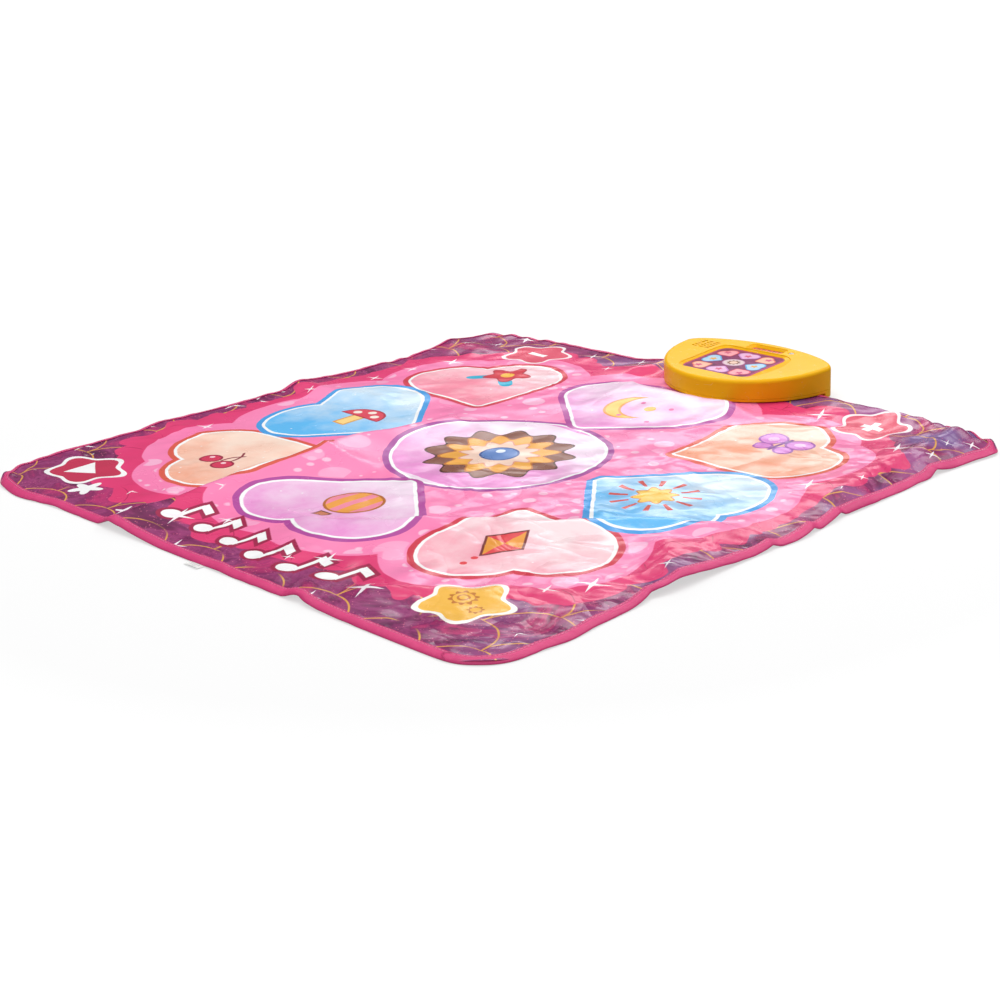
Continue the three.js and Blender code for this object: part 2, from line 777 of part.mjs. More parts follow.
function slotOpening() {
  const ring = (grow, z) => squareRing(
    slotX, slotY, slotFloorX + grow, slotFloorY + grow, slotCornerRadius, z,
  );
  const bowl = onDeck(loft([ring(0, -slotDepth), ring(slotTaper, 0), ring(slotTaper, overrun)]));
  const seat = onDeck(squarePrism(
    slotX, slotY, slotFloorX, slotFloorY, slotCornerRadius, slotSeatTop, -seatGap,
  ));
  const window = onDeck(squarePrism(
    slotX, slotY, slotFloorX - slotLedge, slotFloorY - slotLedge, slotCornerRadius - slotLedge,
    slotSeatTop - seatThickness - overrun, 0,
  ));
  return joined([bowl, seat, window]);
}

function powerOpening() {
  const dish = onDeck(post(powerX, powerY, -powerDishDepth, overrun, powerDishRadius, roundSides));
  const flange = onDeck(post(powerX, powerY, powerSeatTop, 0, powerFlangeRadius + seatGap, roundSides));
  const holeLow = powerSeatTop - seatThickness - overrun;
  const hole = onDeck(post(powerX, powerY, holeLow, 0, powerRadius, roundSides));
  return joined([dish, flange, hole]);
}

function grilleOpening() {
  const dashes = [];
  for (let row = 0; row < grilleRows; row++) {
    for (let dash = 0; dash < grilleDashes; dash++) {
      const x = speakerX + (dash - (grilleDashes - 1) / 2) * grilleDashPitch;
      const y = speakerY + (row - (grilleRows - 1) / 2) * grilleRowPitch;
      dashes.push(onDeck(block(
        [x - grilleDashLength / 2, y - grilleDashWidth / 2, -overrun],
        [x + grilleDashLength / 2, y + grilleDashWidth / 2, overrun],
      )));
    }
  }
  return joined(dashes);
}

// Material left standing under the top round the openings, and the ring that holds the speaker
function underDeck() {
  const collarGrow = displayFlare + boxWall;
  const displayBlock = onDeck(loft([displaySeatTop - seatThickness, 0].map((z) => (
    squareRing(
      displayX, displayY, displayHalfX + collarGrow, displayHalfY + collarGrow,
      displayCornerRadius + boxWall, z, displayBulge,
    )
  ))));
  const slotBlock = onDeck(squarePrism(
    slotX, slotY, slotHalfLength + boxWall, slotHalfWidth + boxWall, slotCornerRadius,
    slotSeatTop - seatThickness, 0,
  ));
  const powerBlock = onDeck(post(
    powerX, powerY, powerSeatTop - seatThickness, 0, powerDishRadius + boxWall, roundSides,
  ));
  const ribInner = speakerRadius + seatGap;
  const ribLow = -boxWall - speakerRibHeight;
  const ring = onDeck(post(speakerX, speakerY, ribLow, 0, ribInner + speakerRibWall, roundSides));
  const ringHole = onDeck(post(speakerX, speakerY, ribLow - overrun, overrun, ribInner, roundSides));
  return joined([displayBlock, slotBlock, powerBlock, ring.subtract(ringHole)]);
}

// The screws that join the housings stand in bosses of the top housing, along its front wall
const housingScrewPlaces = housingScrewShares.map(([x, y]) => [x * boxHalfWidth, y * boxFrontReach]);
const housingScrewStart = counterbore;

function topHousing() {
  const outer = solidOf(loft([boxRing(0, level(seamHeight + seatGap)), ...roundedRim]));
  const hollow = solidOf(loft([
    boxRing(boxWall, level(-overrun)),
    boxRing(boxWall, underTop(boxRim)),
    boxRing(boxRim, underTop(boxWall)),
  ]));
  const bosses = joined(housingScrewPlaces.map(([x, y]) => (
    solidOf(post(x, y, floorThickness + seatGap, boxHeight, housingBossRadius))
  ))).intersect(outer);
  const holes = joined(housingScrewPlaces.map(([x, y]) => (
    screwHole(x, y, housingScrewStart, housingScrewLength + screwClearance)
  )));
  const body = outer.subtract(hollow.subtract(underDeck())).add(bosses);
  return body.subtract(joined([displayOpening(), slotOpening(), powerOpening(), grilleOpening(), holes]));
}

const bayHalfLength = batteryLength + batteryGap / 2 + contactSpringLength + contactPlateThickness + seatGap;
const bayHalfWidth = batteryRadius * 2 + batteryGap;
const doorLeft = -bayHalfLength - doorMargin;
const doorRight = bayHalfLength + doorMargin + doorScrewTab;
const doorScrewX = bayHalfLength + doorMargin + doorScrewTab / 2;
const doorScrewStart = heelLow + seatGap;
const doorTop = heelLow + doorThickness;
const ledgeTop = heelLow + heelFloor;

// The tray under the top housing, with a heel that stands behind the mat and holds the batteries
function bottomHousing() {
  const behindMat = solidOf(block(
    [-boxHalfWidth, heelFront, heelLow - overrun], [boxHalfWidth, boxBackReach + overrun, seamHeight],
  ));
  const behindWall = solidOf(block(
    [-boxHalfWidth, heelFront + boxWall, ledgeTop],
    [boxHalfWidth, boxBackReach + overrun, floorThickness + overrun],
  ));
  const heel = solidOf(loft([
    boxRing(0, level(heelLow)), boxRing(0, level(seamHeight)),
  ])).intersect(behindMat);
  const heelHollow = solidOf(loft([
    boxRing(boxWall, level(ledgeTop)), boxRing(boxWall, level(seamHeight + overrun)),
  ])).intersect(behindWall);
  const tray = solidOf(loft([boxRing(0, level(0)), boxRing(0, level(seamHeight))]));
  const trayHollow = solidOf(loft([
    boxRing(boxWall, level(floorThickness)), boxRing(boxWall, level(seamHeight + overrun)),
  ]));
  const shell = tray.add(heel).subtract(trayHollow).subtract(heelHollow);
  const bayOuter = solidOf(block(
    [-bayHalfLength - batteryBayWall, batteryY - bayHalfWidth - batteryBayWall, heelLow],
    [bayHalfLength + batteryBayWall, batteryY + bayHalfWidth + batteryBayWall, heelLow + batteryBayHeight],
  ));
  const bayInner = solidOf(block(
    [-bayHalfLength, batteryY - bayHalfWidth, heelLow - overrun],
    [bayHalfLength, batteryY + bayHalfWidth, heelLow + batteryBayHeight + overrun],
  ));
  const doorBoss = solidOf(post(
    doorScrewX, batteryY, ledgeTop - seatGap, heelLow + batteryBayHeight, housingBossRadius,
  ));
  const doorRecess = solidOf(block(
    [doorLeft - doorClearance, batteryY - doorWidth / 2 - doorClearance, heelLow - overrun],
    [doorRight + doorClearance, batteryY + doorWidth / 2 + doorClearance, doorTop + doorClearance],
  ));
  const clampBosses = joined(clampScrewPlaces.map(([x, y]) => (
    solidOf(post(x - boxX, y - boxY, 0, clampBossHeight, clampBossRadius))
  )));
  const clampHoleTop = clampScrewStart + screwLength + screwClearance - boxBase;
  const cuts = [
    bayInner, doorRecess,
    screwHole(doorScrewX, batteryY, doorScrewStart, screwLength + screwClearance),
    ...clampScrewPlaces.map(([x, y]) => solidOf(post(
      x - boxX, y - boxY, -overrun, clampHoleTop, screwShankRadius + screwClearance,
    ))),
    ...housingScrewPlaces.map(([x, y]) => screwHole(x, y, housingScrewStart, housingScrewLength)),
    solidOf(block(
      [-ribbonWidth / 2 - ribbonSlotClearance, ribbonY - ribbonSlotClearance, -overrun],
      [ribbonWidth / 2 + ribbonSlotClearance, ribbonY + ribbonSlotClearance, overrun],
    )),
  ];
  return joined([shell, bayOuter, doorBoss, clampBosses, boardPosts()]).subtract(joined(cuts));
}

// Posts that carry the main board near its corners
const postPlaces = [[-1, -1], [1, -1], [1, 1], [-1, 1]].map(([sideX, sideY]) => [
  displayX + sideX * (boardHalfX - postInset), displayY + sideY * postSpanY,
]);

function boardPosts() {
  const aboveSeat = onDeck(block(
    [-boxHalfWidth, -boxFrontReach, boardLow - seatGap], [boxHalfWidth, boxBackReach, boxHeight],
  ));
  const posts = postPlaces.map(([x, y]) => solidOf(post(x, y, 0, boxHeight, postRadius)));
  return joined(posts).subtract(aboveSeat);
}

const controlBox = new THREE.Group();
controlBox.position.set(boxX, boxY, boxBase);
const deck = new THREE.Group();
deck.position.z = boxHeight;
deck.rotation.x = deckTilt;
controlBox.add(deck);

function addHousings() {
  controlBox.add(meshOf('top_housing', topHousing(), looks.housing));
  controlBox.add(meshOf('bottom_housing', bottomHousing(), looks.housing));
  const screw = screwSolid(housingScrewLength);
  housingScrewPlaces.forEach(([x, y], k) => (
    addScrew(controlBox, `housing_screw_${k + 1}`, screw, x, y, housingScrewStart)
  ));
  for (const [name, side] of [['left', -1], ['right', 1]]) {
    const foot = solidOf(post(
      side * footX, footY, heelLow - footThickness, heelLow - seatGap, footRadius, roundSides,
    ));
    controlBox.add(meshOf(`rubber_foot_${name}`, foot, looks.rubber));
  }
}

// Middle and half width of one light cell across the frame: the middle one for step 0, or else the one
// that reaches to the frame's wall on that side
function cellSpan(step, pitch, frameHalf) {
  const inner = (pitch - cellWall) / 2;
  const outer = (frameHalf - cellWall - inner - cellWall) / 2;
  return step === 0 ? [0, inner] : [step * (inner + cellWall + outer), outer];
}

function addDisplay() {
  const lens = squarePrism(
    displayX, displayY, displayHalfX - lensClearance, displayHalfY - lensClearance,
    displayCornerRadius - lensClearance, lensLow, lensTop,
  );
  deck.add(meshOf('display_lens', solidOf(lens), looks.lens));
  const frameHalfX = displayHalfX - seatGap;
  const frameHalfY = displayHalfY - seatGap;
  const cellLow = cellTop - cellHeight;
  const frame = solidOf(squarePrism(
    displayX, displayY, frameHalfX, frameHalfY, displayCornerRadius, cellLow, cellTop,
  ));
  const cells = steps.flatMap((row) => steps.map((column) => {
    const [x, reachX] = cellSpan(column, cellPitchX, frameHalfX);
    const [y, reachY] = cellSpan(row, cellPitchY, frameHalfY);
    const radius = row !== 0 && column !== 0 ? displayCornerRadius - cellWall : cellWall;
    return solidOf(squarePrism(
      displayX + x, displayY + y, reachX, reachY, radius, cellLow - overrun, cellTop + overrun,
    ));
  }));
  deck.add(meshOf('light_cell_frame', frame.subtract(joined(cells)), looks.white));
  const board = block(
    [displayX - boardHalfX, displayY - boardHalfY, boardLow],
    [displayX + boardHalfX, displayY + boardHalfY, boardTop],
  );
  deck.add(meshOf('main_board', solidOf(board), looks.board));
  const light = solidOf(block(
    [-lightSize / 2, -lightSize / 2, seatGap], [lightSize / 2, lightSize / 2, seatGap + lightHeight],
  ));
  for (const row of steps) {
    for (const column of steps) {
      const name = `display_light_${rowNames[row + 1]}_${columnNames[column + 1]}`;
      const lamp = meshOf(name, light, looks.white);
      lamp.position.set(displayX + column * cellPitchX, displayY + row * cellPitchY, boardTop);
      deck.add(lamp);
    }
  }
}

function addSlotWindow() {
  const lens = squarePrism(
    slotX, slotY, slotFloorX - lensClearance, slotFloorY - lensClearance, slotCornerRadius - lensClearance,
    slotLensLow, -slotDepth,
  );
  deck.add(meshOf('slot_window_lens', solidOf(lens), looks.lens));
  const stripX = slotFloorX + slotBoardMargin;
  const stripY = slotFloorY + slotBoardMargin;
  const strip = block(
    [slotX - stripX, slotY - stripY, slotBoardTop - slotBoardThickness],
    [slotX + stripX, slotY + stripY, slotBoardTop],
  );
  deck.add(meshOf('slot_light_board', solidOf(strip), looks.board));
  const flangeLow = powerSeatTop + seatGap;
  const lamp = turned([
    [0, flangeLow], [powerFlangeRadius, flangeLow], [powerFlangeRadius, -powerDishDepth],
    [powerRadius, -powerDishDepth], [powerCrownRadius, powerProud - powerCrownDrop], [0, powerProud],
  ], roundSides);
  lamp.translate(powerX, powerY, 0);
  deck.add(meshOf('power_light_lens', solidOf(lamp), looks.white));
}

function addSpeaker() {
  const face = -boxWall - seatGap;
  const back = face - speakerDepth;
  const hollowRadius = coneRadius + seatGap;
  const hollowFloor = face - coneDepth - coneThickness - seatGap;
  const basket = turned([
    [0, back], [magnetRadius, back], [magnetRadius, back + magnetHeight],
    [speakerRadius - speakerFlange, face - speakerFlange], [speakerRadius, face - speakerFlange],
    [speakerRadius, face], [hollowRadius, face], [hollowRadius, face - coneThickness - seatGap],
    [dustCapRadius, hollowFloor], [0, hollowFloor],
  ], roundSides);
  basket.translate(speakerX, speakerY, 0);
  deck.add(meshOf('speaker_driver', solidOf(basket), looks.black));
  const cone = turned([
    [0, face - coneDepth - coneThickness], [dustCapRadius, face - coneDepth - coneThickness],
    [coneRadius, face - coneThickness], [coneRadius, face], [dustCapRadius, face - coneDepth],
    [dustCapRadius * dustCapShoulderShare, face - coneDepth + dustCapShoulderHeight],
    [0, face - coneDepth + dustCapHeight],
  ], roundSides);
  cone.translate(speakerX, speakerY, 0);
  deck.add(meshOf('speaker_cone', solidOf(cone), looks.paper));
}

function addBatteries() {
  const centreZ = doorTop + doorClearance + batteryGap + batteryRadius;
  const half = (batteryLength + batteryGap) / 2;
  const can = turned([
    [0, -batteryLength / 2], [batteryRadius, -batteryLength / 2],
    [batteryRadius, batteryLength / 2 - batteryNubHeight],
    [batteryNubRadius, batteryLength / 2 - batteryNubHeight],
    [batteryNubRadius, batteryLength / 2], [0, batteryLength / 2],
  ], roundSides);
  can.rotateY(Math.PI / 2);
  const solid = solidOf(can);
  let number = 1;
  for (const row of [-1, 1]) {
    for (const column of [-1, 1]) {
      const cell = meshOf(`battery_${number}`, solid, looks.cell);
      cell.position.set(column * half, batteryY + row * (batteryRadius + batteryGap / 2), centreZ);
      if (row < 0) cell.rotation.z = Math.PI;
      controlBox.add(cell);
      number += 1;
    }
  }
  for (const [name, side] of [['left', -1], ['right', 1]]) {
    const inner = bayHalfLength - seatGap - contactPlateThickness;
    const plate = solidOf(block(
      [inner, batteryY - bayHalfWidth + seatGap, centreZ - contactPlateHeight / 2],
      [inner + contactPlateThickness, batteryY + bayHalfWidth - seatGap, centreZ + contactPlateHeight / 2],
    ));
    const springReach = contactSpringLength - seatGap;
    const springs = [-1, 1].map((row) => {
      const spring = new THREE.CylinderGeometry(
        contactSpringTipRadius, contactSpringRadius, springReach, smallSides,
      );
      spring.rotateZ(Math.PI / 2);
      spring.translate(inner - springReach / 2, batteryY + row * (batteryRadius + batteryGap / 2), centreZ);
      return solidOf(spring);
    });
    const contact = meshOf(`battery_contact_${name}`, joined([plate, ...springs]), looks.steel);
    if (side < 0) {
      contact.rotation.z = Math.PI;
      contact.position.y = batteryY * 2;
    }
    controlBox.add(contact);
  }
}

function addBatteryDoor() {
  const plate = solidOf(block(
    [doorLeft, batteryY - doorWidth / 2, heelLow], [doorRight, batteryY + doorWidth / 2, doorTop],
  ));
  const grips = Array.from({ length: doorGripCount }, (_, k) => {
    const x = doorLeft + doorMargin + k * doorGripLength * 2;
    return solidOf(block(
      [x, batteryY - doorGripWidth / 2, heelLow - overrun],
      [x + doorGripLength, batteryY + doorGripWidth / 2, heelLow + doorGripDepth],
    ));
  });
  const hole = screwHole(doorScrewX, batteryY, doorScrewStart, screwLength);
  controlBox.add(meshOf('battery_door', plate.subtract(joined([...grips, hole])), looks.housing));
  addScrew(controlBox, 'battery_door_screw', screwSolid(screwLength), doorScrewX, batteryY, doorScrewStart);
}

// The ribbon rises from the lower film, through the mat and the box's floor, to its connector
function addRibbon() {
  const boardUnderside = boxHeight + boardLow + boxTopSlope * ribbonY;
  const connectorLow = boardUnderside - seatGap * 2 - connectorHeight;
  const connector = block(
    [-connectorWidth / 2, ribbonY - connectorDepth / 2, connectorLow],
    [connectorWidth / 2, ribbonY + connectorDepth / 2, connectorLow + connectorHeight],
  );
  controlBox.add(meshOf('ribbon_connector', solidOf(connector), looks.white));
  const filmTop = liftUnderBox + lowerFilmLow + circuitFilmThickness - boxBase;
  const ribbon = block(
    [-ribbonWidth / 2, ribbonY - ribbonThickness / 2, filmTop + seatGap],
    [ribbonWidth / 2, ribbonY + ribbonThickness / 2, connectorLow - seatGap],
  );
  controlBox.add(meshOf('ribbon_tail', solidOf(ribbon), looks.film));
}

addMatLayers();
addContacts();
addLabel();
addClampBar();
addHousings();
addDisplay();
addSlotWindow();
addSpeaker();
addBatteries();
addBatteryDoor();
addRibbon();

const danceMat = new THREE.Group();
danceMat.add(mat, controlBox);

export default danceMat;
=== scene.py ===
"""Looks of an electronic dance mat: a printed film cover with a sewn binding over foam and films, which
lies in low folds, and a moulded control box on its back edge.

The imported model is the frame. Blender works in metres with Z up; the sizes below are in millimetres and
repeat those of the model, and MM turns them into metres."""

import json
import math

import bpy
import numpy as np
from mathutils import Matrix, Quaternion, Vector, noise


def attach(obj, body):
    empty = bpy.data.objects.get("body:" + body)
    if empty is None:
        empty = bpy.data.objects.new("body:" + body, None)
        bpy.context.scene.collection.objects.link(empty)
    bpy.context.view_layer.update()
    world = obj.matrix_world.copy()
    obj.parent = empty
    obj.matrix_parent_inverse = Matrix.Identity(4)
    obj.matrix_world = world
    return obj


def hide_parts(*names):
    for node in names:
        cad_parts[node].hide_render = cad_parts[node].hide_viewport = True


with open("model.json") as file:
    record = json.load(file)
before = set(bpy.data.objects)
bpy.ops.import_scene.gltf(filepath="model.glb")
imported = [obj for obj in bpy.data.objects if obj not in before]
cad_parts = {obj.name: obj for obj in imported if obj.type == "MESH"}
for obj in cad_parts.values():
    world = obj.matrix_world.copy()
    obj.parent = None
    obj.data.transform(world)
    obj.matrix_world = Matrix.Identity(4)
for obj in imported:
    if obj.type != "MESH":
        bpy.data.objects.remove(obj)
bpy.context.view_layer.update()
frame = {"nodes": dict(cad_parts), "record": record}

MM = 0.001

# Mat
HALF_WIDTH = 450
HALF_DEPTH = 448
HEM_WIDTH = 12
HEM_CORNER = 43
TOP_FILM = (3.9, 4.4)
UPPER_FILM = (3.25, 3.6)
FOAM = (1.55, 2.95)
LOWER_FILM = (0.9, 1.25)
BACKING = (0.0, 0.6)
CONTACT = (2.55, 2.95)
FILM_DROP = 2.2
LIFT_UNDER_BOX = 2.7
CELLS = 186
TAPE_STEPS = 900

# Pads and keys on the flat mat
PAD_COLUMN = 246
PAD_ROW = 236
MIDDLE_Y = 8
PAD_CONTACT = 46
KEY_CONTACT = 17
CONTACT_CLEARANCE = 1.2
FRONT_KEY = (336, -345)
BACK_KEY = (298, 378)

# Folds: ends as shares of half the mat, crest heights as shares of FOLD_HEIGHT, and reaches to the left
# and right as shares of FOLD_REACH. A crest wanders to its sides by two waves of a depth and a length.
FOLD_HEIGHT = 16
FOLD_REACH = 100
FOLD_END = 60
FOLD_SIDE_SHARPNESS = 1.4
CREST_ROUNDING = 4
CREST_WANDER = ((5, 31.0), (2, 13.0))
FOLD_SHARES = [
    ((-0.34, -1.03), (-0.37, -0.29), (0.56, 1.0), (0.22, 1.0)),
    ((-0.37, -0.29), (-0.33, 0.14), (1.0, 0.55), (0.22, 1.0)),
    ((0.04, -0.68), (0.84, -0.08), (0.5, 0.85), (0.3, 1.1)),
    ((1.02, -0.43), (0.83, -0.24), (0.67, 0.8), (0.45, 0.9)),
    ((-1.02, 0.1), (-0.66, 0.14), (0.55, 0.3), (1.0, 0.25)),
    ((-1.02, -0.41), (-0.72, -0.38), (0.33, 0.15), (0.7, 0.3)),
    ((-1.02, 0.76), (-0.84, 0.76), (0.5, 0.4), (0.5, 0.4)),
    ((0.91, 0.24), (0.89, 0.9), (0.6, 0.95), (1.0, 0.42)),
    ((0.42, 0.95), (0.9, 0.92), (0.55, 0.75), (0.2, 0.6)),
    ((-0.14, 0.71), (0.25, 0.71), (0.7, 0.75), (0.2, 1.1)),
    ((-0.25, 0.86), (-0.24, 1.0), (0.6, 0.5), (0.6, 0.18)),
]

# Short creases that the model leaves out, in the same form
CREASE_SHARES = [
    ((0.4, -1.0), (0.3, -0.8), (0.36, 0.1), (0.15, 0.5)),
    ((1.0, -0.06), (0.9, -0.02), (0.26, 0.08), (0.3, 0.1)),
    ((1.0, 0.09), (0.88, 0.12), (0.3, 0.1), (0.34, 0.1)),
    ((1.0, 0.215), (0.86, 0.2), (0.34, 0.1), (0.4, 0.1)),
    ((1.0, 0.64), (0.9, 0.6), (0.3, 0.1), (0.12, 0.3)),
    ((0.72, 0.18), (0.94, 0.34), (0.12, 0.3), (0.3, 0.12)),
    ((0.3, 0.52), (0.62, 0.8), (0.3, 0.2), (0.16, 0.4)),
    ((-0.3, -0.72), (0.1, -0.62), (0.1, 0.3), (0.2, 0.5)),
    ((0.5, -0.86), (0.72, -0.66), (0.28, 0.16), (0.16, 0.4)),
]

# Where ripples draw an edge in, or out where the depth is below 0: the axis across it and its side, the
# place along it as a share of half the mat, and the depth and spread as shares of PULL_DEPTH and
# PULL_SPREAD
PULL_DEPTH = 18
PULL_SPREAD = 90
PULL_FADE = 4
RIPPLE_HEIGHT, RIPPLE_LENGTH = 1.6, 5.2
PULL_SHARES = [
    ("y", 1, -0.93, 1.0, 1.0),
    ("y", 1, 1.0, 1.8, 1.6),
    ("x", 1, 0.03, -0.4, 0.6),
    ("x", 1, -0.75, -0.3, 0.4),
    ("x", 1, 0.95, -0.6, 0.8),
    ("x", -1, 0.52, 0.45, 0.45),
    ("y", -1, -0.77, -0.5, 0.5),
    ("x", -1, -1, 1.2, 0.7),
    ("y", -1, 1, 0.2, 0.5),
]

# Sharp kinks of the edges, in the same form
KINK_FADE = 9
KINK_SHARPNESS = 1.5
KINK_SHARES = [
    ("y", -1, 0.4, 0.26, 0.2),
    ("x", 1, -0.47, 0.42, 0.3),
    ("x", 1, -0.058, 0.24, 0.16),
    ("x", 1, 0.09, 0.16, 0.16),
    ("x", 1, 0.215, 0.22, 0.22),
    ("x", 1, 0.643, 0.3, 0.3),
    ("x", -1, -0.42, 0.24, 0.25),
    ("x", -1, 0.1, 0.24, 0.25),
]

# Control box, in its own frame on its widest line
BOX_PLACE = (38.5, 457.5, 8.2)
BOX_HALF_WIDTH, BOX_FRONT, BOX_BACK = 123, 123, 43
FRONT_FULLNESS, BACK_FULLNESS = 2.05, 1.75
BOX_HEIGHT = 34.6
TOP_SLOPE = 0.0515
RIM = 5.5
WALL = 2.4
SEAM = 4
SEAT_GAP = 0.3
FLOOR = 2.2
HEEL_FRONT = -8.0
HEEL_LOW = -6.7
HEEL_LEDGE = 3.2
OUTLINE_SIDES = 176
DISPLAY_X, DISPLAY_Y, DISPLAY_CORNER = -2.75, -43.5, 15
DISPLAY_HALF_X, DISPLAY_HALF_Y = 55.25, 49
DISPLAY_DEPTH, DISPLAY_BULGE, DISPLAY_FLARE = 3.2, 14.5, 3
LENS_THICKNESS = 1.6
SLOT_X, SLOT_Y, SLOT_HALF_X, SLOT_HALF_Y = 3, 21, 30, 10
SLOT_TAPER, SLOT_DEPTH, SLOT_CORNER = 3, 4, 4
SLOT_LENS_THICKNESS = 1.2
POWER_PLACE = (43.9, 21.5)
POWER_DISH, POWER_DISH_DEPTH = 5, 0.8
SPEAKER_PLACE = (-83, -4.5)
SPEAKER_RADIUS = 16.5
GRILLE_COLUMN, GRILLE_ROW = 11, 6.2
FOOT_X, FOOT_Y, FOOT_RADIUS = 92, 4, 6
BATTERY_Y = 11.9
BAY_HALF_LENGTH = 54.05
BAY_HALF_WIDTH = 15
DOOR = (-57.05, 69.05, 35, 2.0)
DOOR_SCREW_X = 63.05
CLAMP_BAR = (196, 22, 2.4)
CLAMP_Y = 386
CLAMP_PITCH = 78
RIBBON_Y = -80
CLAMP_SCREWS = [(step * CLAMP_PITCH, CLAMP_Y - BOX_PLACE[1]) for step in (-1, 0, 1)]
HOUSING_SCREWS = [(-93.5, -56.6), (93.5, -56.6), (-108.2, -22.1), (108.2, -22.1)]
HOUSING_SCREW_LOW = 1.2
SCREW_HEAD, SCREW_CONE, SCREW_SHANK, SCREW_PLAY = 2.8, 1.85, 1.4, 0.35
BOSS_RADIUS, CLAMP_BOSS_RADIUS = 4, 4.2
COLLAR_DEPTH = 1.6
BAY_WALL = 1.6

# How far a tool reaches past what it cuts, and past the box's sides
OVERRUN = 5
PAST_SIDES = 130

IN_BOX = Matrix.Translation(Vector(BOX_PLACE) * MM)
DECK_TILT = math.atan(TOP_SLOPE)
ON_DECK = IN_BOX @ Matrix.Translation((0, 0, BOX_HEIGHT * MM)) @ Matrix.Rotation(DECK_TILT, 4, "X")


# Making and shaping meshes


def only(*pieces):
    bpy.ops.object.select_all(action="DESELECT")
    for piece in pieces:
        piece.select_set(True)
    bpy.context.view_layer.objects.active = pieces[0]


def added(name, add_primitive, **settings):
    """Adds a primitive, names it and sets its place into its mesh."""
    bpy.ops.object.select_all(action="DESELECT")
    add_primitive(**settings)
    piece = bpy.context.object
    only(piece)
    bpy.ops.object.transform_apply(location=True, rotation=True, scale=True)
    piece.name = name
    piece.data.name = name
    return piece


def points_of(piece):
    points = np.empty(len(piece.data.vertices) * 3)
    piece.data.vertices.foreach_get("co", points)
    return points.reshape(-1, 3)


def set_points(piece, points):
    piece.data.vertices.foreach_set("co", np.asarray(points, float).ravel())
    piece.data.update()
    return piece


def edit(piece, *steps):
    """Runs edit mode steps on the whole mesh."""
    only(piece)
    bpy.ops.object.mode_set(mode="EDIT")
    bpy.ops.mesh.select_all(action="SELECT")
    for step in steps:
        step()
    bpy.ops.object.mode_set(mode="OBJECT")
    return piece


def face_out():
    bpy.ops.mesh.normals_make_consistent(inside=False)


def raise_face():
    bpy.ops.mesh.extrude_region_move(TRANSFORM_OT_translate={"value": (0, 0, 1)})


def modified(piece, kind, **settings):
    modifier = piece.modifiers.new(kind.lower(), kind)
    for name, value in settings.items():
        setattr(modifier, name, value)
    only(piece)
    bpy.ops.object.modifier_apply(modifier=modifier.name)
    return piece


def cut(piece, *tools, operation="DIFFERENCE"):
    """Takes the tools away from a piece, or joins them to it, and removes them."""
    for tool in tools:
        modified(piece, "BOOLEAN", operation=operation, object=tool, solver="MANIFOLD")
        bpy.data.objects.remove(tool)
    return piece


def smooth(piece, degrees=35):
    only(piece)
    bpy.ops.object.shade_smooth_by_angle(angle=math.radians(degrees))
    return piece


def softly(piece):
    """Shades a moulded piece smooth, with its flat faces left flat."""
    smooth(piece, 30)
    return modified(piece, "WEIGHTED_NORMAL", keep_sharp=True, weight=100)


def placed(piece, matrix):
    piece.data.transform(matrix)
    piece.data.update()
    return piece


def block(name, low, high):
    middle = [(a + b) / 2 * MM for a, b in zip(low, high)]
    size = [(b - a) * MM for a, b in zip(low, high)]
    return added(name, bpy.ops.mesh.primitive_cube_add, size=1, location=middle, scale=size)


def post(name, x, y, low, high, radius, sides=48):
    return added(
        name, bpy.ops.mesh.primitive_cylinder_add, vertices=sides, radius=radius * MM,
        depth=(high - low) * MM, location=(x * MM, y * MM, (low + high) / 2 * MM),
    )


def grid(name, columns, rows):
    """A flat grid from -1 to 1 both ways."""
    return added(name, bpy.ops.mesh.primitive_grid_add, x_subdivisions=columns, y_subdivisions=rows, size=2)


def loft(name, rings):
    """A closed body through rings of points from low to high, each counterclockwise from above: a filled
    circle that is extruded once for each further ring."""
    piece = added(
        name, bpy.ops.mesh.primitive_circle_add, vertices=len(rings[0]), radius=1, fill_type="NGON",
    )
    edit(piece, *[raise_face] * (len(rings) - 1))
    set_points(piece, np.concatenate(rings) * MM)
    return edit(piece, face_out)


def turned(name, profile, x, y, sides=48):
    """A body turned round an upright axis, from pairs of radius and height."""
    angle = np.linspace(0, 2 * math.pi, sides, endpoint=False)
    return loft(name, [
        np.stack([x + r * np.cos(angle), y + r * np.sin(angle), np.full(sides, float(z))], axis=1)
        for r, z in profile
    ])


# How the mat lies


def smoothstep(low, high, value):
    share = np.clip((value - low) / (high - low), 0, 1)
    return share * share * (3 - 2 * share)


def rough(x, y, scale, seed, octaves=2):
    """Noise from about -1 to 1 over the flat mat, with features of the given size."""
    return np.array([
        noise.fractal((a / scale, b / scale, seed), 0.7, 2.0, octaves) for a, b in zip(x, y)
    ])


def fold_lift(fold, x, y):
    """How far one fold lifts places of the flat mat."""
    start, end, heights, reaches = fold
    start_x, start_y = start[0] * HALF_WIDTH, start[1] * HALF_DEPTH
    run_x, run_y = end[0] * HALF_WIDTH - start_x, end[1] * HALF_DEPTH - start_y
    run = math.hypot(run_x, run_y)
    along = ((x - start_x) * run_x + (y - start_y) * run_y) / run
    left = ((y - start_y) * run_x - (x - start_x) * run_y) / run
    (wide, wide_wave), (narrow, narrow_wave) = CREST_WANDER
    left = left + wide * np.sin(along / wide_wave + start_x) + narrow * np.sin(along / narrow_wave)
    share = np.clip(along / run, 0, 1)
    past = np.abs(along - share * run) / FOLD_END
    reach = FOLD_REACH * np.where(left > 0, reaches[0], reaches[1])
    aside = (np.hypot(left, CREST_ROUNDING) - CREST_ROUNDING) / reach
    crest = FOLD_HEIGHT * (heights[0] + (heights[1] - heights[0]) * share)
    return crest * np.maximum(1 - aside, 0) ** FOLD_SIDE_SHARPNESS * np.maximum(1 - past, 0) ** 2


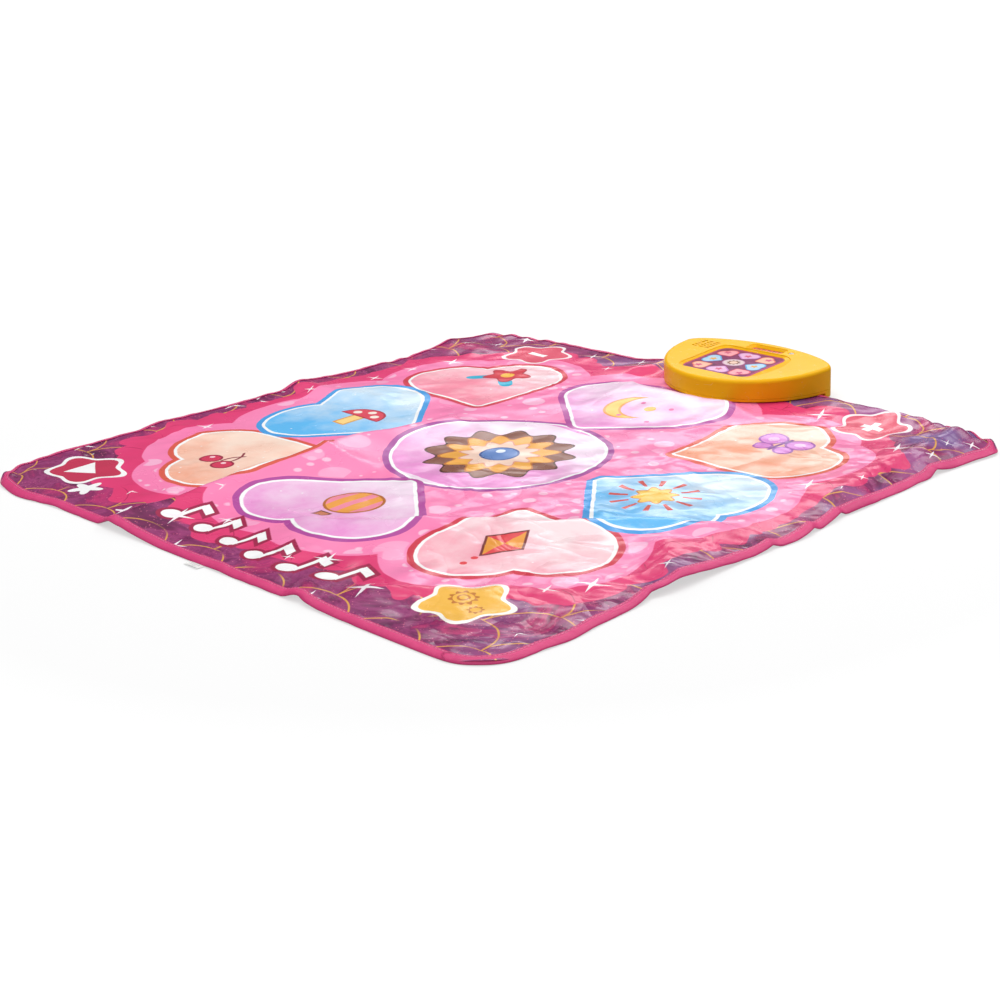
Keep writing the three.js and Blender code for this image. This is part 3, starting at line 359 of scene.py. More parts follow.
def beyond_box(x, y):
    """How far a place lies outside the control box's outline; less than 0 is under the box."""
    dx, dy = np.abs(x - BOX_PLACE[0]) / BOX_HALF_WIDTH, np.maximum(BOX_PLACE[1] - y, 0) / BOX_FRONT
    return ((dx**FRONT_FULLNESS + dy**FRONT_FULLNESS) ** (1 / FRONT_FULLNESS) - 1) * BOX_FRONT


def pull_share(pull, x, y, kink=False):
    """How strongly a ripple or a kink of the edge works at a place, from 0 to 1."""
    across, side, at, depth, spread = pull
    reached, half, along, half_along = (
        (x, HALF_WIDTH, y, HALF_DEPTH) if across == "x" else (y, HALF_DEPTH, x, HALF_WIDTH)
    )
    away = (along - at * half_along) / (PULL_SPREAD * spread)
    fall = KINK_SHARPNESS * np.abs(away) if kink else away * away
    fade = KINK_FADE if kink else PULL_FADE
    return depth * np.maximum(side * reached / half, 0) ** fade * np.exp(-fall)


def from_mat_edge(flat_x, flat_y):
    return np.minimum(HALF_WIDTH - np.abs(flat_x), HALF_DEPTH - np.abs(flat_y))


def lying(flat_x, flat_y):
    """Where points of the flat mat come to lie in plan, and the height of the mat's underside there."""
    cubes = sum(fold_lift(fold, flat_x, flat_y) ** 3 for fold in FOLD_SHARES + CREASE_SHARES)
    lift = np.cbrt(cubes)
    x, y = flat_x.copy(), flat_y.copy()
    for pull in PULL_SHARES + KINK_SHARES:
        kink = pull in KINK_SHARES
        across, side, at, _, _ = pull
        share = pull_share(pull, flat_x, flat_y, kink)
        along = flat_y if across == "x" else flat_x
        if not kink:
            ripple = 1 + np.cos(along / RIPPLE_LENGTH + 11.7 * at)
            lift = lift + RIPPLE_HEIGHT * np.maximum(share, 0) * ripple
        if across == "x":
            x -= side * PULL_DEPTH * share
        else:
            y -= side * PULL_DEPTH * share
    border = smoothstep(60, 0, from_mat_edge(flat_x, flat_y))
    lift = lift + 1.5 * border * np.maximum(rough(flat_x, flat_y, scale=42, seed=3.1), 0)
    lift = lift + 1.7 * np.maximum(rough(flat_x, flat_y, scale=75, seed=8.4) - 0.05, 0)
    wide = smoothstep(0, 22, beyond_box(flat_x, flat_y))
    return x, y, LIFT_UNDER_BOX + (lift - LIFT_UNDER_BOX) * wide


def film_relief(flat_x, flat_y):
    """How far the printed film stands off the layers under it, in puffs and small creases."""
    ridge = 1 - np.abs(rough(flat_x, flat_y, scale=33, seed=5.0, octaves=1)) * 3
    slanted_x, slanted_y = flat_x * 0.35 + flat_y * 0.3, flat_y - flat_x * 0.4
    long_ridge = 1 - np.abs(rough(slanted_x, slanted_y, scale=21, seed=2.0, octaves=1)) * 4
    worn = smoothstep(-0.1, 0.45, rough(flat_x, flat_y, scale=160, seed=1.5) + flat_x / 1300)
    relief = worn * (np.maximum(ridge, 0) + 0.7 * np.maximum(long_ridge, 0))
    relief = relief + 0.35 * np.maximum(rough(flat_x, flat_y, scale=18, seed=7.7, octaves=1), 0)
    from_edge = from_mat_edge(flat_x, flat_y)
    relief = relief * smoothstep(4, 20, beyond_box(flat_x, flat_y)) * smoothstep(14, 30, from_edge)
    return relief - FILM_DROP * np.clip((HEM_WIDTH - from_edge) / 10, 0, 1) ** 1.5


def rounded_corners(u, v, half_x, half_y, radius):
    """Bends the square corners of a grid from -1 to 1 to a rounded rectangle's."""
    x, y = u * half_x, v * half_y
    s = np.maximum(np.abs(x) - (half_x - radius), 0) / radius
    t = np.maximum(np.abs(y) - (half_y - radius), 0) / radius
    inside = (s > 0) & (t > 0)
    bent_x = np.sign(x) * (half_x - radius + radius * s * np.sqrt(1 - t * t / 2))
    bent_y = np.sign(y) * (half_y - radius + radius * t * np.sqrt(1 - s * s / 2))
    return np.where(inside, bent_x, x), np.where(inside, bent_y, y)


def keep_flat(piece, x, y, z):
    """Stores where each point lies on the flat mat, in metres, for the print and the weave."""
    places = piece.data.attributes.new("flat", "FLOAT_VECTOR", "POINT")
    places.data.foreach_set("vector", np.stack([x, y, z], axis=-1).ravel() * MM)


def sheet(name, heights, reach, cells=CELLS, centre=(0, 0), round_radius=None, relief=None, holes=()):
    """A layer of the mat, or with a round radius a disc of one, laid as the mat lies."""
    piece = grid(name, cells, cells)
    low, high = heights
    u, v = points_of(piece)[:, :2].T
    if round_radius is None:
        half_x, half_y = HALF_WIDTH - HEM_WIDTH + reach, HALF_DEPTH - HEM_WIDTH + reach
        x, y = rounded_corners(u, v, half_x, half_y, HEM_CORNER + reach)
    else:
        x, y = rounded_corners(u, v, round_radius, round_radius, round_radius)
        x, y = x + centre[0], y + centre[1]
    for (hole_x, hole_y), radius in holes:
        x, y = opened(piece, x, y, hole_x, hole_y, radius)
    lie_x, lie_y, lift = lying(x, y)
    if relief is not None:
        lift = lift + relief(x, y)
    set_points(piece, np.stack([lie_x, lie_y, lift + high], axis=1) * MM)
    keep_flat(piece, x, y, np.zeros_like(x))
    modified(piece, "SOLIDIFY", thickness=(high - low) * MM, offset=-1)

    # The lower face lies straight under the upper one
    points = points_of(piece)
    count = len(x)
    points[count:] = points[:count] - [0, 0, (high - low) * MM]
    set_points(piece, points)
    return smooth(piece, 60)


def opened(piece, x, y, hole_x, hole_y, radius):
    """Takes the cells in a round hole out of a grid and draws the cells round it to the circle."""
    away = np.hypot(x - hole_x, y - hole_y)
    gone = away < radius
    mesh = piece.data
    corners = np.empty(len(mesh.loops), int)
    mesh.loops.foreach_get("vertex_index", corners)
    corners = corners.reshape(-1, 4)
    rim = np.zeros(len(x), bool)
    rim[corners[gone[corners].any(axis=1)].ravel()] = True
    rim &= ~gone
    only(piece)
    bpy.ops.object.mode_set(mode="EDIT")
    bpy.ops.mesh.select_mode(type="VERT")
    bpy.ops.mesh.select_all(action="DESELECT")
    bpy.ops.object.mode_set(mode="OBJECT")
    mesh.vertices.foreach_set("select", gone)
    bpy.ops.object.mode_set(mode="EDIT")
    bpy.ops.mesh.delete(type="VERT")
    bpy.ops.object.mode_set(mode="OBJECT")
    x = np.where(rim, hole_x + (x - hole_x) / np.maximum(away, 1e-6) * radius, x)
    y = np.where(rim, hole_y + (y - hole_y) / np.maximum(away, 1e-6) * radius, y)
    return x[~gone], y[~gone]


TOUCH_PLACES = {
    f"pad_{row}_{column}": ((i * PAD_COLUMN, MIDDLE_Y + j * PAD_ROW), PAD_CONTACT)
    for j, row in zip((-1, 0, 1), ("front", "centre", "back"))
    for i, column in zip((-1, 0, 1), ("left", "middle", "right"))
}
TOUCH_PLACES["key_start"] = ((-FRONT_KEY[0], FRONT_KEY[1]), KEY_CONTACT)
TOUCH_PLACES["key_mode"] = (FRONT_KEY, KEY_CONTACT)
TOUCH_PLACES["key_volume_down"] = ((-BACK_KEY[0], BACK_KEY[1]), KEY_CONTACT)
TOUCH_PLACES["key_volume_up"] = (BACK_KEY, KEY_CONTACT)


def mat_layers():
    holes = [(place, radius + CONTACT_CLEARANCE) for place, radius in TOUCH_PLACES.values()]
    return {
        "bottom_cover": sheet("backing_cloth", BACKING, -0.3),
        "lower_circuit_film": sheet("lower_film", LOWER_FILM, -0.3),
        "foam_spacer": sheet("spacer_foam", FOAM, -0.3, holes=holes),
        "upper_circuit_film": sheet("upper_film", UPPER_FILM, -0.3),
        "top_cover": sheet("printed_film", TOP_FILM, 10, relief=film_relief),
    }


def contact_patches():
    patches = {}
    for name, (place, radius) in TOUCH_PLACES.items():
        cells = 24 if radius > 20 else 12
        patches[name] = sheet(f"{name}_patch", CONTACT, 0, cells, place, radius)
    return patches


def hem_line(reach):
    """Points round the mat and back to the first, a reach outside its hem line, with the way along it."""
    half_x, half_y, radius = HALF_WIDTH - HEM_WIDTH, HALF_DEPTH - HEM_WIDTH, HEM_CORNER
    corners = [(1, -1, -90), (1, 1, 0), (-1, 1, 90), (-1, -1, 180)]
    line = []
    for side_x, side_y, start in corners:
        for turn in np.linspace(0, 90, 40):
            angle = math.radians(start + turn)
            line.append((
                side_x * (half_x - radius) + radius * math.cos(angle),
                side_y * (half_y - radius) + radius * math.sin(angle),
                math.cos(angle), math.sin(angle),
            ))
    line = np.array(line + line[:1])
    run = np.concatenate([[0], np.cumsum(np.hypot(*np.diff(line[:, :2], axis=0).T))])
    at = np.linspace(0, run[-1], TAPE_STEPS + 1)
    x, y, out_x, out_y = (np.interp(at, run, line[:, k]) for k in range(4))
    return x + out_x * reach, y + out_y * reach, at


def edge_tape():
    """The binding: a tape folded round the mat's edge and sewn near its inner edges."""
    outer = [(0, 5.2), (1.2, 5.25), (2.2, 5.1), (3.4, 5.2), (5.2, 5.0), (7, 4.5), (8.8, 3.8), (10.3, 2.9)]
    outer += [(11.4, 2.0), (12, 1.2), (11.9, 0.6), (11.2, 0.15), (10, 0), (6, 0), (3, 0), (0, 0)]
    inner = [(0, 0.5), (5, 0.5), (9.6, 0.5), (10.9, 0.7), (11.2, 1.2), (10.8, 1.8), (9.8, 2.6)]
    inner += [(8.4, 3.4), (6.8, 4.0), (5, 4.5), (3.4, 4.7), (0, 4.7)]
    section = outer + inner
    piece = grid("edge_tape", len(section), TAPE_STEPS)
    points = np.empty((TAPE_STEPS + 1, len(section) + 1, 3))
    flat = np.empty_like(points)
    _, _, at = hem_line(0)
    pucker = rough(at, at * 0, scale=9, seed=4.2) * 0.25 + rough(at, at * 0, scale=26, seed=1.2) * 0.35
    pucker[-1] = pucker[0]
    for k, (reach, height) in enumerate(section + section[:1]):
        x, y, _ = hem_line(reach)
        lie_x, lie_y, lift = lying(x, y)
        crown = math.sin(math.pi * reach / HEM_WIDTH) if k < len(outer) and height > 2 else 0
        points[:, k] = np.stack([lie_x, lie_y, lift + height + crown * pucker], axis=1)
        flat[:, k] = np.stack([at, np.full_like(at, reach), np.full_like(at, height)], axis=1)
    set_points(piece, points.reshape(-1, 3) * MM)
    keep_flat(piece, *np.moveaxis(flat, 2, 0))
    edit(piece, lambda: bpy.ops.mesh.remove_doubles(threshold=0.00001), face_out)
    return smooth(piece, 60)


def care_tag():
    """The white label sewn under the front edge."""
    piece = grid("care_tag", 24, 10)
    u, v = points_of(piece)[:, :2].T
    x, y = 14 + 12 * u, -HALF_DEPTH - 0.3 - 4.5 * (1 - v)
    curl = 0.75 + 0.8 * ((1 - v) / 2) ** 2 * (1 + 0.6 * np.sin(u * 2.6 + 0.5))
    set_points(piece, np.stack([x, y, curl], axis=1) * MM)
    keep_flat(piece, x, y, np.zeros_like(x))
    modified(piece, "SOLIDIFY", thickness=0.35 * MM, offset=-1)
    return smooth(piece, 60)


# Control box


def box_ring(inset, height, slope=0):
    """The box's outline, drawn in by an inset, at a height that rises to the back by a slope."""
    angle = math.pi / 2 + 2 * math.pi * np.arange(OUTLINE_SIDES) / OUTLINE_SIDES
    back = np.sin(angle) > 0
    power = 2 / np.where(back, BACK_FULLNESS, FRONT_FULLNESS)
    reach = np.where(back, BOX_BACK, BOX_FRONT) - inset
    x = (BOX_HALF_WIDTH - inset) * np.sign(np.cos(angle)) * np.abs(np.cos(angle)) ** power
    y = reach * np.sign(np.sin(angle)) * np.abs(np.sin(angle)) ** power
    return np.stack([x, y, height + slope * y], axis=1)


def under_top(inset, drop):
    return box_ring(inset, BOX_HEIGHT - drop, TOP_SLOPE)


def square_ring(x, y, half_x, half_y, radius, z, swell=0.0, facets=10):
    """A rectangle with round corners at one height; its right side can swell."""
    points = []
    for quarter, (side_x, side_y) in enumerate([(-1, 1), (-1, -1), (1, -1), (1, 1)]):
        for k in range(facets + 1):
            angle = (quarter + 1 + k / facets) * math.pi / 2
            points.append((
                side_x * (half_x - radius) + radius * math.cos(angle),
                side_y * (half_y - radius) + radius * math.sin(angle),
            ))
    points = np.array(points)
    if swell:
        points = resampled(points, 96)
    grow = swell * np.maximum(1 - (points[:, 1] / half_y) ** 2, 0) * (points[:, 0] > 0)
    return np.stack([x + points[:, 0] + grow, y + points[:, 1], np.full(len(points), float(z))], axis=1)


def resampled(points, count):
    """The same closed outline with its points at even steps."""
    closed = np.concatenate([points, points[:1]])
    run = np.concatenate([[0], np.cumsum(np.hypot(*np.diff(closed, axis=0).T))])
    at = np.linspace(0, run[-1], count, endpoint=False)
    return np.stack([np.interp(at, run, closed[:, k]) for k in range(2)], axis=1)


def rounded_mouth(ring_at, depth, floor_inset, lip=1.0):
    """Rings of a tool for a recess: from its floor up a sloping wall to a lip that rounds over."""
    rings = [ring_at(-floor_inset, -depth)]
    for turn in (0, 20, 40, 60, 80, 90):
        angle = math.radians(turn)
        rings.append(ring_at(lip * (1 - math.cos(angle)), -lip * (1 - math.sin(angle))))
    rings.append(ring_at(lip, OVERRUN))
    return rings


DISPLAY_LENS_LOW = -DISPLAY_DEPTH - LENS_THICKNESS
DISPLAY_SEAT = DISPLAY_LENS_LOW - SEAT_GAP
SLOT_LENS_LOW = -SLOT_DEPTH - SLOT_LENS_THICKNESS
SLOT_SEAT = SLOT_LENS_LOW - SEAT_GAP
SLOT_FLOOR_X, SLOT_FLOOR_Y = SLOT_HALF_X - SLOT_TAPER, SLOT_HALF_Y - SLOT_TAPER
POWER_SEAT = -POWER_DISH_DEPTH - 1 - SEAT_GAP


def display_ring(grow, z, swell=0.0, corner=DISPLAY_CORNER):
    half_x, half_y = DISPLAY_HALF_X + grow, DISPLAY_HALF_Y + grow
    return square_ring(DISPLAY_X, DISPLAY_Y, half_x, half_y, corner, z, swell)


def display_tools():
    def mouth(grow, z):
        return display_ring(DISPLAY_FLARE + grow, z, DISPLAY_BULGE)

    # The least of swells gives the floor as many points as the mouth
    bowl = rounded_mouth(mouth, DISPLAY_DEPTH, 0, lip=1.2)
    bowl[0] = display_ring(0, -DISPLAY_DEPTH, 0.001)
    seat = [display_ring(0, z) for z in (DISPLAY_SEAT, -2)]
    window = [display_ring(-3, z, corner=DISPLAY_CORNER - 3) for z in (-12, -2)]
    return [loft("display_bowl", bowl), loft("display_seat", seat), loft("display_window", window)]


def slot_tools():
    def ring(grow, z):
        return square_ring(SLOT_X, SLOT_Y, SLOT_HALF_X + grow, SLOT_HALF_Y + grow, SLOT_CORNER, z)

    seat = [ring(-SLOT_TAPER, z) for z in (SLOT_SEAT, -1)]
    window = [ring(-SLOT_TAPER - 1.6, z) for z in (-18, -1)]
    bowl = rounded_mouth(ring, SLOT_DEPTH, SLOT_TAPER)
    return [loft("slot_bowl", bowl), loft("slot_seat", seat), loft("slot_window", window)]


def power_tools():
    x, y = POWER_PLACE
    dish = turned("power_dish", [
        (POWER_DISH - 1.6, -POWER_DISH_DEPTH), (POWER_DISH - 0.8, -POWER_DISH_DEPTH * 0.85),
        (POWER_DISH, -0.25), (POWER_DISH + 0.5, 0), (POWER_DISH + 0.6, 5),
    ], x, y)
    flange = post("power_flange", x, y, POWER_SEAT, -0.5, 3.9)
    hole = post("power_hole", x, y, -9, -0.5, 2.4)
    return [dish, flange, hole]


def plate(name, x, y, half_x, half_y, radius, edge, facets):
    """A rectangular plate with round corners, whose edge is given as pairs of an inset and a height."""
    return loft(name, [
        square_ring(x, y, half_x - inset, half_y - inset, radius - inset, z, facets=facets)
        for inset, z in edge
    ])


def grille_dash(x, y):
    """A tool for one dash of the speaker grille, whose lip rounds over."""
    edge = [(0, -6), (0, -0.7), (-0.2, -0.2), (-0.7, 0), (-0.7, 4)]
    return plate("grille_dash", x, y, 4.3, 1.2, 1.1, edge, 4)


def grille_tools():
    return [
        grille_dash(SPEAKER_PLACE[0] + column * GRILLE_COLUMN, SPEAKER_PLACE[1] + row * GRILLE_ROW)
        for row in (-2, -1, 0, 1, 2) for column in (-1, 0, 1)
    ]


def under_deck():
    """What stays standing under the top round its openings."""
    display = loft("display_collar", [
        display_ring(DISPLAY_FLARE + WALL, z, DISPLAY_BULGE, DISPLAY_CORNER + WALL)
        for z in (DISPLAY_SEAT - COLLAR_DEPTH, 0)
    ])
    slot = loft("slot_collar", [
        square_ring(SLOT_X, SLOT_Y, SLOT_HALF_X + WALL, SLOT_HALF_Y + WALL, SLOT_CORNER, z)
        for z in (SLOT_SEAT - COLLAR_DEPTH, 0)
    ])
    power = post("power_collar", *POWER_PLACE, POWER_SEAT - COLLAR_DEPTH, 0, POWER_DISH + WALL)
    ring = post("speaker_ring", *SPEAKER_PLACE, -WALL - 4, 0, SPEAKER_RADIUS + 1.7)
    cut(ring, post("speaker_seat", *SPEAKER_PLACE, -12, OVERRUN, SPEAKER_RADIUS + SEAT_GAP))
    return [placed(piece, ON_DECK) for piece in (display, slot, power, ring)]


def screw_hole(x, y, low, depth):
    """A tool for the hole of a countersunk screw that goes in from below, with room round the screw."""
    head, shank = SCREW_HEAD + SCREW_PLAY, SCREW_SHANK + SCREW_PLAY
    profile = [(head, -OVERRUN), (head, 0), (shank, SCREW_CONE), (shank, depth)]
    return turned("screw_hole", [(radius, low + z) for radius, z in profile], x, y, 20)


def top_shell():
    turn = np.radians(np.linspace(0, 90, 10))
    rings = [box_ring(0, SEAM + SEAT_GAP), box_ring(0, SEAM + 1.2)]
    rings += [under_top(RIM * (1 - math.cos(a)), RIM * (1 - math.sin(a))) for a in turn]
    rings.append(under_top(RIM + 1.5, 0))
    shell = placed(loft("top_shell", rings), IN_BOX)
    hollow = [box_ring(WALL, -OVERRUN), under_top(WALL, RIM), under_top(RIM, WALL)]
    hollow = placed(loft("hollow", hollow), IN_BOX)
    cut(hollow, *under_deck())
    for x, y in HOUSING_SCREWS:
        boss = post("boss", x, y, FLOOR + SEAT_GAP, BOX_HEIGHT - 1, BOSS_RADIUS, 24)
        cut(hollow, placed(boss, IN_BOX))
    cut(shell, hollow)
    for tool in display_tools() + slot_tools() + power_tools() + grille_tools():
        cut(shell, placed(tool, ON_DECK))
    for x, y in HOUSING_SCREWS:
        cut(shell, placed(screw_hole(x, y, HOUSING_SCREW_LOW, 16.35), IN_BOX))
    return shell


def behind(front, low, high):
    """A block round all of the box that lies behind a line across it."""
    return block("behind", (-PAST_SIDES, front, low), (PAST_SIDES, BOX_BACK + OVERRUN, high))


def bottom_shell():
    heel = loft("heel", [
        box_ring(1.2, HEEL_LOW), box_ring(0.35, HEEL_LOW + 0.35), box_ring(0, HEEL_LOW + 1.2),
        box_ring(0, SEAM),
    ])
    cut(heel, behind(HEEL_FRONT, HEEL_LOW - OVERRUN, SEAM), operation="INTERSECT")
    shell = loft("bottom_shell", [
        box_ring(0.9, 0), box_ring(0.3, 0.25), box_ring(0, 0.9), box_ring(0, SEAM),
    ])
    cut(shell, heel, operation="UNION")
    ledge = HEEL_LOW + HEEL_LEDGE
    tray, heel_hollow = (
        loft("hollow", [box_ring(WALL, floor), box_ring(WALL, SEAM + OVERRUN)])
        for floor in (FLOOR, ledge)
    )
    cut(heel_hollow, behind(HEEL_FRONT + WALL, ledge, FLOOR + OVERRUN), operation="INTERSECT")
    cut(shell, tray, heel_hollow)
    add_battery_bay(shell, ledge)
    for x, y in CLAMP_SCREWS:
        cut(shell, post("clamp_hole", x, y, -OVERRUN, 5.5, SCREW_SHANK + SCREW_PLAY, 20))
    for x, y in HOUSING_SCREWS:
        cut(shell, screw_hole(x, y, HOUSING_SCREW_LOW, 16))
    cut(shell, block("ribbon_slot", (-14.2, RIBBON_Y - 1.2, -OVERRUN), (14.2, RIBBON_Y + 1.2, OVERRUN)))
    return placed(shell, IN_BOX)


def add_battery_bay(shell, ledge):
    """The walls and the opening of the battery bay, the door's recess, and the bosses beside it."""
    half_x, half_y, top = BAY_HALF_LENGTH, BAY_HALF_WIDTH, HEEL_LOW + 12
    walls = block(
        "bay_walls", (-half_x - BAY_WALL, BATTERY_Y - half_y - BAY_WALL, HEEL_LOW + 1),
        (half_x + BAY_WALL, BATTERY_Y + half_y + BAY_WALL, top),
    )
    boss = post("door_boss", DOOR_SCREW_X, BATTERY_Y, ledge - SEAT_GAP, top, BOSS_RADIUS, 24)
    cut(shell, walls, boss, operation="UNION")
    for x, y in CLAMP_SCREWS:
        cut(shell, post("clamp_boss", x, y, 0.5, 8, CLAMP_BOSS_RADIUS, 24), operation="UNION")
    bay = block(
        "bay", (-half_x, BATTERY_Y - half_y, HEEL_LOW - OVERRUN), (half_x, BATTERY_Y + half_y, top + OVERRUN),
    )
    left, right, width, thickness = DOOR
    recess = block(
        "door_recess", (left - SEAT_GAP, BATTERY_Y - width / 2 - SEAT_GAP, HEEL_LOW - OVERRUN),
        (right + SEAT_GAP, BATTERY_Y + width / 2 + SEAT_GAP, HEEL_LOW + thickness + SEAT_GAP),
    )
    cut(shell, bay, recess, screw_hole(DOOR_SCREW_X, BATTERY_Y, HEEL_LOW + SEAT_GAP, 12.35))


def lens(name, x, y, half_x, half_y, corner, low, top):
    """A window that fills its seat but for a gap, with a rounded upper edge."""
    edge = [(SEAT_GAP, low), (SEAT_GAP, top - 0.35), (SEAT_GAP + 0.12, top - 0.1), (SEAT_GAP + 0.4, top)]
    return smooth(placed(plate(name, x, y, half_x, half_y, corner, edge, 10), ON_DECK), 30)


def power_lamp():
    turn = np.radians(np.linspace(0, 82, 7))
    rim = [(2.3 * math.cos(a), -POWER_DISH_DEPTH + 1.15 * math.sin(a)) for a in turn]
    profile = [(3.5, POWER_SEAT + SEAT_GAP), (3.5, -POWER_DISH_DEPTH - 0.1), (3.4, -POWER_DISH_DEPTH)] + rim
    return smooth(placed(turned("power_lamp", profile, *POWER_PLACE, 32), ON_DECK), 30)


def rubber_foot(name, side):
    low, high = HEEL_LOW - 1.5, HEEL_LOW - SEAT_GAP
    profile = [
        (FOOT_RADIUS - 1.1, low), (FOOT_RADIUS - 0.5, low + 0.1), (FOOT_RADIUS, low + 0.5),
        (FOOT_RADIUS, high),
    ]
    return smooth(placed(turned(name, profile, side * FOOT_X, FOOT_Y, 40), IN_BOX), 30)


def battery_cover():
    left, right, width, thickness = DOOR
    low, high = HEEL_LOW, HEEL_LOW + thickness
    middle, half_x, half_y = (left + right) / 2, (right - left) / 2, width / 2
    edge = [(0.5, low), (0.15, low + 0.15), (0, low + 0.5), (0, high)]
    cover = plate("battery_cover", middle, BATTERY_Y, half_x, half_y, 2.2, edge, 5)
    groove_and_shade = [(-0.3, low - 3), (-0.3, low), (0, low + 0.3), (0.1, low + 0.8)]
    for k in range(4):
        cut(cover, plate("grip", left + 3.8 + k * 3.2, BATTERY_Y, 0.8, 7, 0.6, groove_and_shade, 4))
    cut(cover, screw_hole(DOOR_SCREW_X, BATTERY_Y, HEEL_LOW + SEAT_GAP, 12))
    return smooth(placed(cover, IN_BOX), 30)


def clamp_strip():
    """The bar under the mat, in the mat's own frame."""
    length, width, thickness = CLAMP_BAR
    edge = [(0.4, 0), (0.1, 0.12), (0, 0.4), (0, 2.0), (0.3, thickness)]
    bar = plate("clamp_strip", BOX_PLACE[0], CLAMP_Y, length / 2, width / 2, 3, edge, 5)
    for x, _ in CLAMP_SCREWS:
        cut(bar, screw_hole(BOX_PLACE[0] + x, CLAMP_Y, SEAT_GAP, 12))
    return smooth(bar, 30)


# Finishes


def colour(code):
    """A colour of the screen such as "E8366F", as the linear values that shaders use."""
    parts = [int(code[k:k + 2], 16) / 255 for k in (0, 2, 4)]
    return (*[c / 12.92 if c <= 0.04045 else ((c + 0.055) / 1.055) ** 2.4 for c in parts], 1)


def sum_of(kind):
    return lambda reading, *others: reading.worked(kind, reading, *others)


class Reading:
    """A value that a finish reads or works out at each point of a surface, which sums can be done with."""

    __add__ = __radd__ = sum_of("ADD")
    __sub__ = sum_of("SUBTRACT")
    __mul__ = __rmul__ = sum_of("MULTIPLY")
    __truediv__ = sum_of("DIVIDE")
    __mod__ = sum_of("FLOORED_MODULO")
    __abs__ = sum_of("ABSOLUTE")
    __gt__ = sum_of("GREATER_THAN")
    __lt__ = sum_of("LESS_THAN")
    root = sum_of("SQRT")
    sine = sum_of("SINE")
    cosine = sum_of("COSINE")
    floor = sum_of("FLOOR")
    rounded = sum_of("ROUND")
    least = sum_of("MINIMUM")
    most = sum_of("MAXIMUM")

    def __init__(self, finish, socket):
        self.finish = finish
        self.socket = socket

    def worked(self, kind, *values, clamp=False):
        return self.finish.node("ShaderNodeMath", dict(enumerate(values)), operation=kind, use_clamp=clamp)

    def __rsub__(self, other):
        return self.worked("SUBTRACT", other, self)

    def under(self, edge, blur=0.8):
        """1 where the value is below the edge and 0 above it, with a narrow blur between."""
        return self.worked("MULTIPLY_ADD", self, -1 / blur, edge / blur + 0.5, clamp=True)

    def over(self, edge, blur=0.8):
        return self.worked("MULTIPLY_ADD", self, 1 / blur, 0.5 - edge / blur, clamp=True)


def grey(value):
    return (value, value, value, 1)


def set_stops(ramp, stops):
    while len(ramp.elements) < len(stops):
        ramp.elements.new(0.5)
    for element, (position, tone) in zip(ramp.elements, stops):
        element.position = position
        element.color = colour(tone) if isinstance(tone, str) else tone


class Finish:
    """A material, built up from its nodes. Its place is the object's own, or a flat one: on the flat mat,
    or along and across the tape. Places are in millimetres, and a string is a colour."""

    def __init__(self, name, flat=False, **constants):
        self.material = bpy.data.materials.new(name)
        self.material.use_nodes = True
        self.tree = self.material.node_tree
        self.tree.nodes.clear()
        output = self.tree.nodes.new("ShaderNodeOutputMaterial")
        self.skin = self.tree.nodes.new("ShaderNodeBsdfPrincipled")
        self.tree.links.new(self.skin.outputs[0], output.inputs[0])
        self.give(**constants)
        if flat:
            where = self.node("ShaderNodeAttribute", output=1, attribute_name="flat")
        else:
            where = self.node("ShaderNodeTexCoord", output=3)
        self.place = self.node("ShaderNodeVectorMath", {0: where, 3: 1000}, operation="SCALE")

    def node(self, kind, inputs=None, output=0, **settings):
        made = self.tree.nodes.new(kind)
        for name, value in settings.items():
            setattr(made, name, value)
        for key, value in (inputs or {}).items():
            self.feed(made.inputs[key], value)
        return Reading(self, made.outputs[output])

    def feed(self, socket, value):
        if isinstance(value, Reading):
            self.tree.links.new(value.socket, socket)
        else:
            socket.default_value = colour(value) if isinstance(value, str) else value

    def give(self, **sockets):
        """Feeds the surface's own sockets, with constants or readings, and returns the material."""
        for name, value in sockets.items():
            self.feed(self.skin.inputs[name.replace("_", " ").title().replace("Ior", "IOR")], value)
        return self.material

    def parts(self, vector):
        split = self.tree.nodes.new("ShaderNodeSeparateXYZ")
        self.tree.links.new(vector.socket, split.inputs[0])
        return [Reading(self, split.outputs[k]) for k in range(3)]

    def noise(self, size, detail=3.0, roughness=0.5, distortion=0.0, stretch=None):
        """Soft noise from 0 to 1 with features of the given size."""
        place = self.place
        if stretch:
            place = self.node("ShaderNodeVectorMath", {0: place, 1: stretch}, operation="MULTIPLY")
        inputs = {"Vector": place, "Scale": 1 / size, "Detail": detail, "Roughness": roughness}
        return self.node("ShaderNodeTexNoise", {**inputs, "Distortion": distortion})

    def cells(self, size, output=0, randomness=1.0):
        """How far the nearest of some scattered points is, or as output 1 or 2 its own tone or its place."""
        inputs = {"Vector": self.place, "Scale": 1 / size, "Randomness": randomness}
        return self.node("ShaderNodeTexVoronoi", inputs, output)

    def mix(self, share, below, above):
        return self.node("ShaderNodeMix", {0: share, 6: below, 7: above}, output=2, data_type="RGBA")

    def ramp(self, value, stops):
        made = self.node("ShaderNodeValToRGB", {0: value})
        set_stops(made.socket.node.color_ramp, stops)
        return made

    def bump(self, height, depth=1.0):
        """A bump whose height of 1 stands the given depth."""
        return self.node("ShaderNodeBump", {"Strength": 1, "Distance": depth * MM, "Height": height})


def length(x, y):
    return (x * x + y * y).root()


def bearing(x, y):
    """The angle from the axis of y toward that of x."""
    return x.worked("ARCTAN2", x, y)


def from_lines(x, pitch):
    """Distance from the nearest of a row of lines."""
    return abs((x % pitch) - pitch / 2)


def circle(x, y, centre_x, centre_y, radius):
    return length(x - centre_x, y - centre_y) - radius


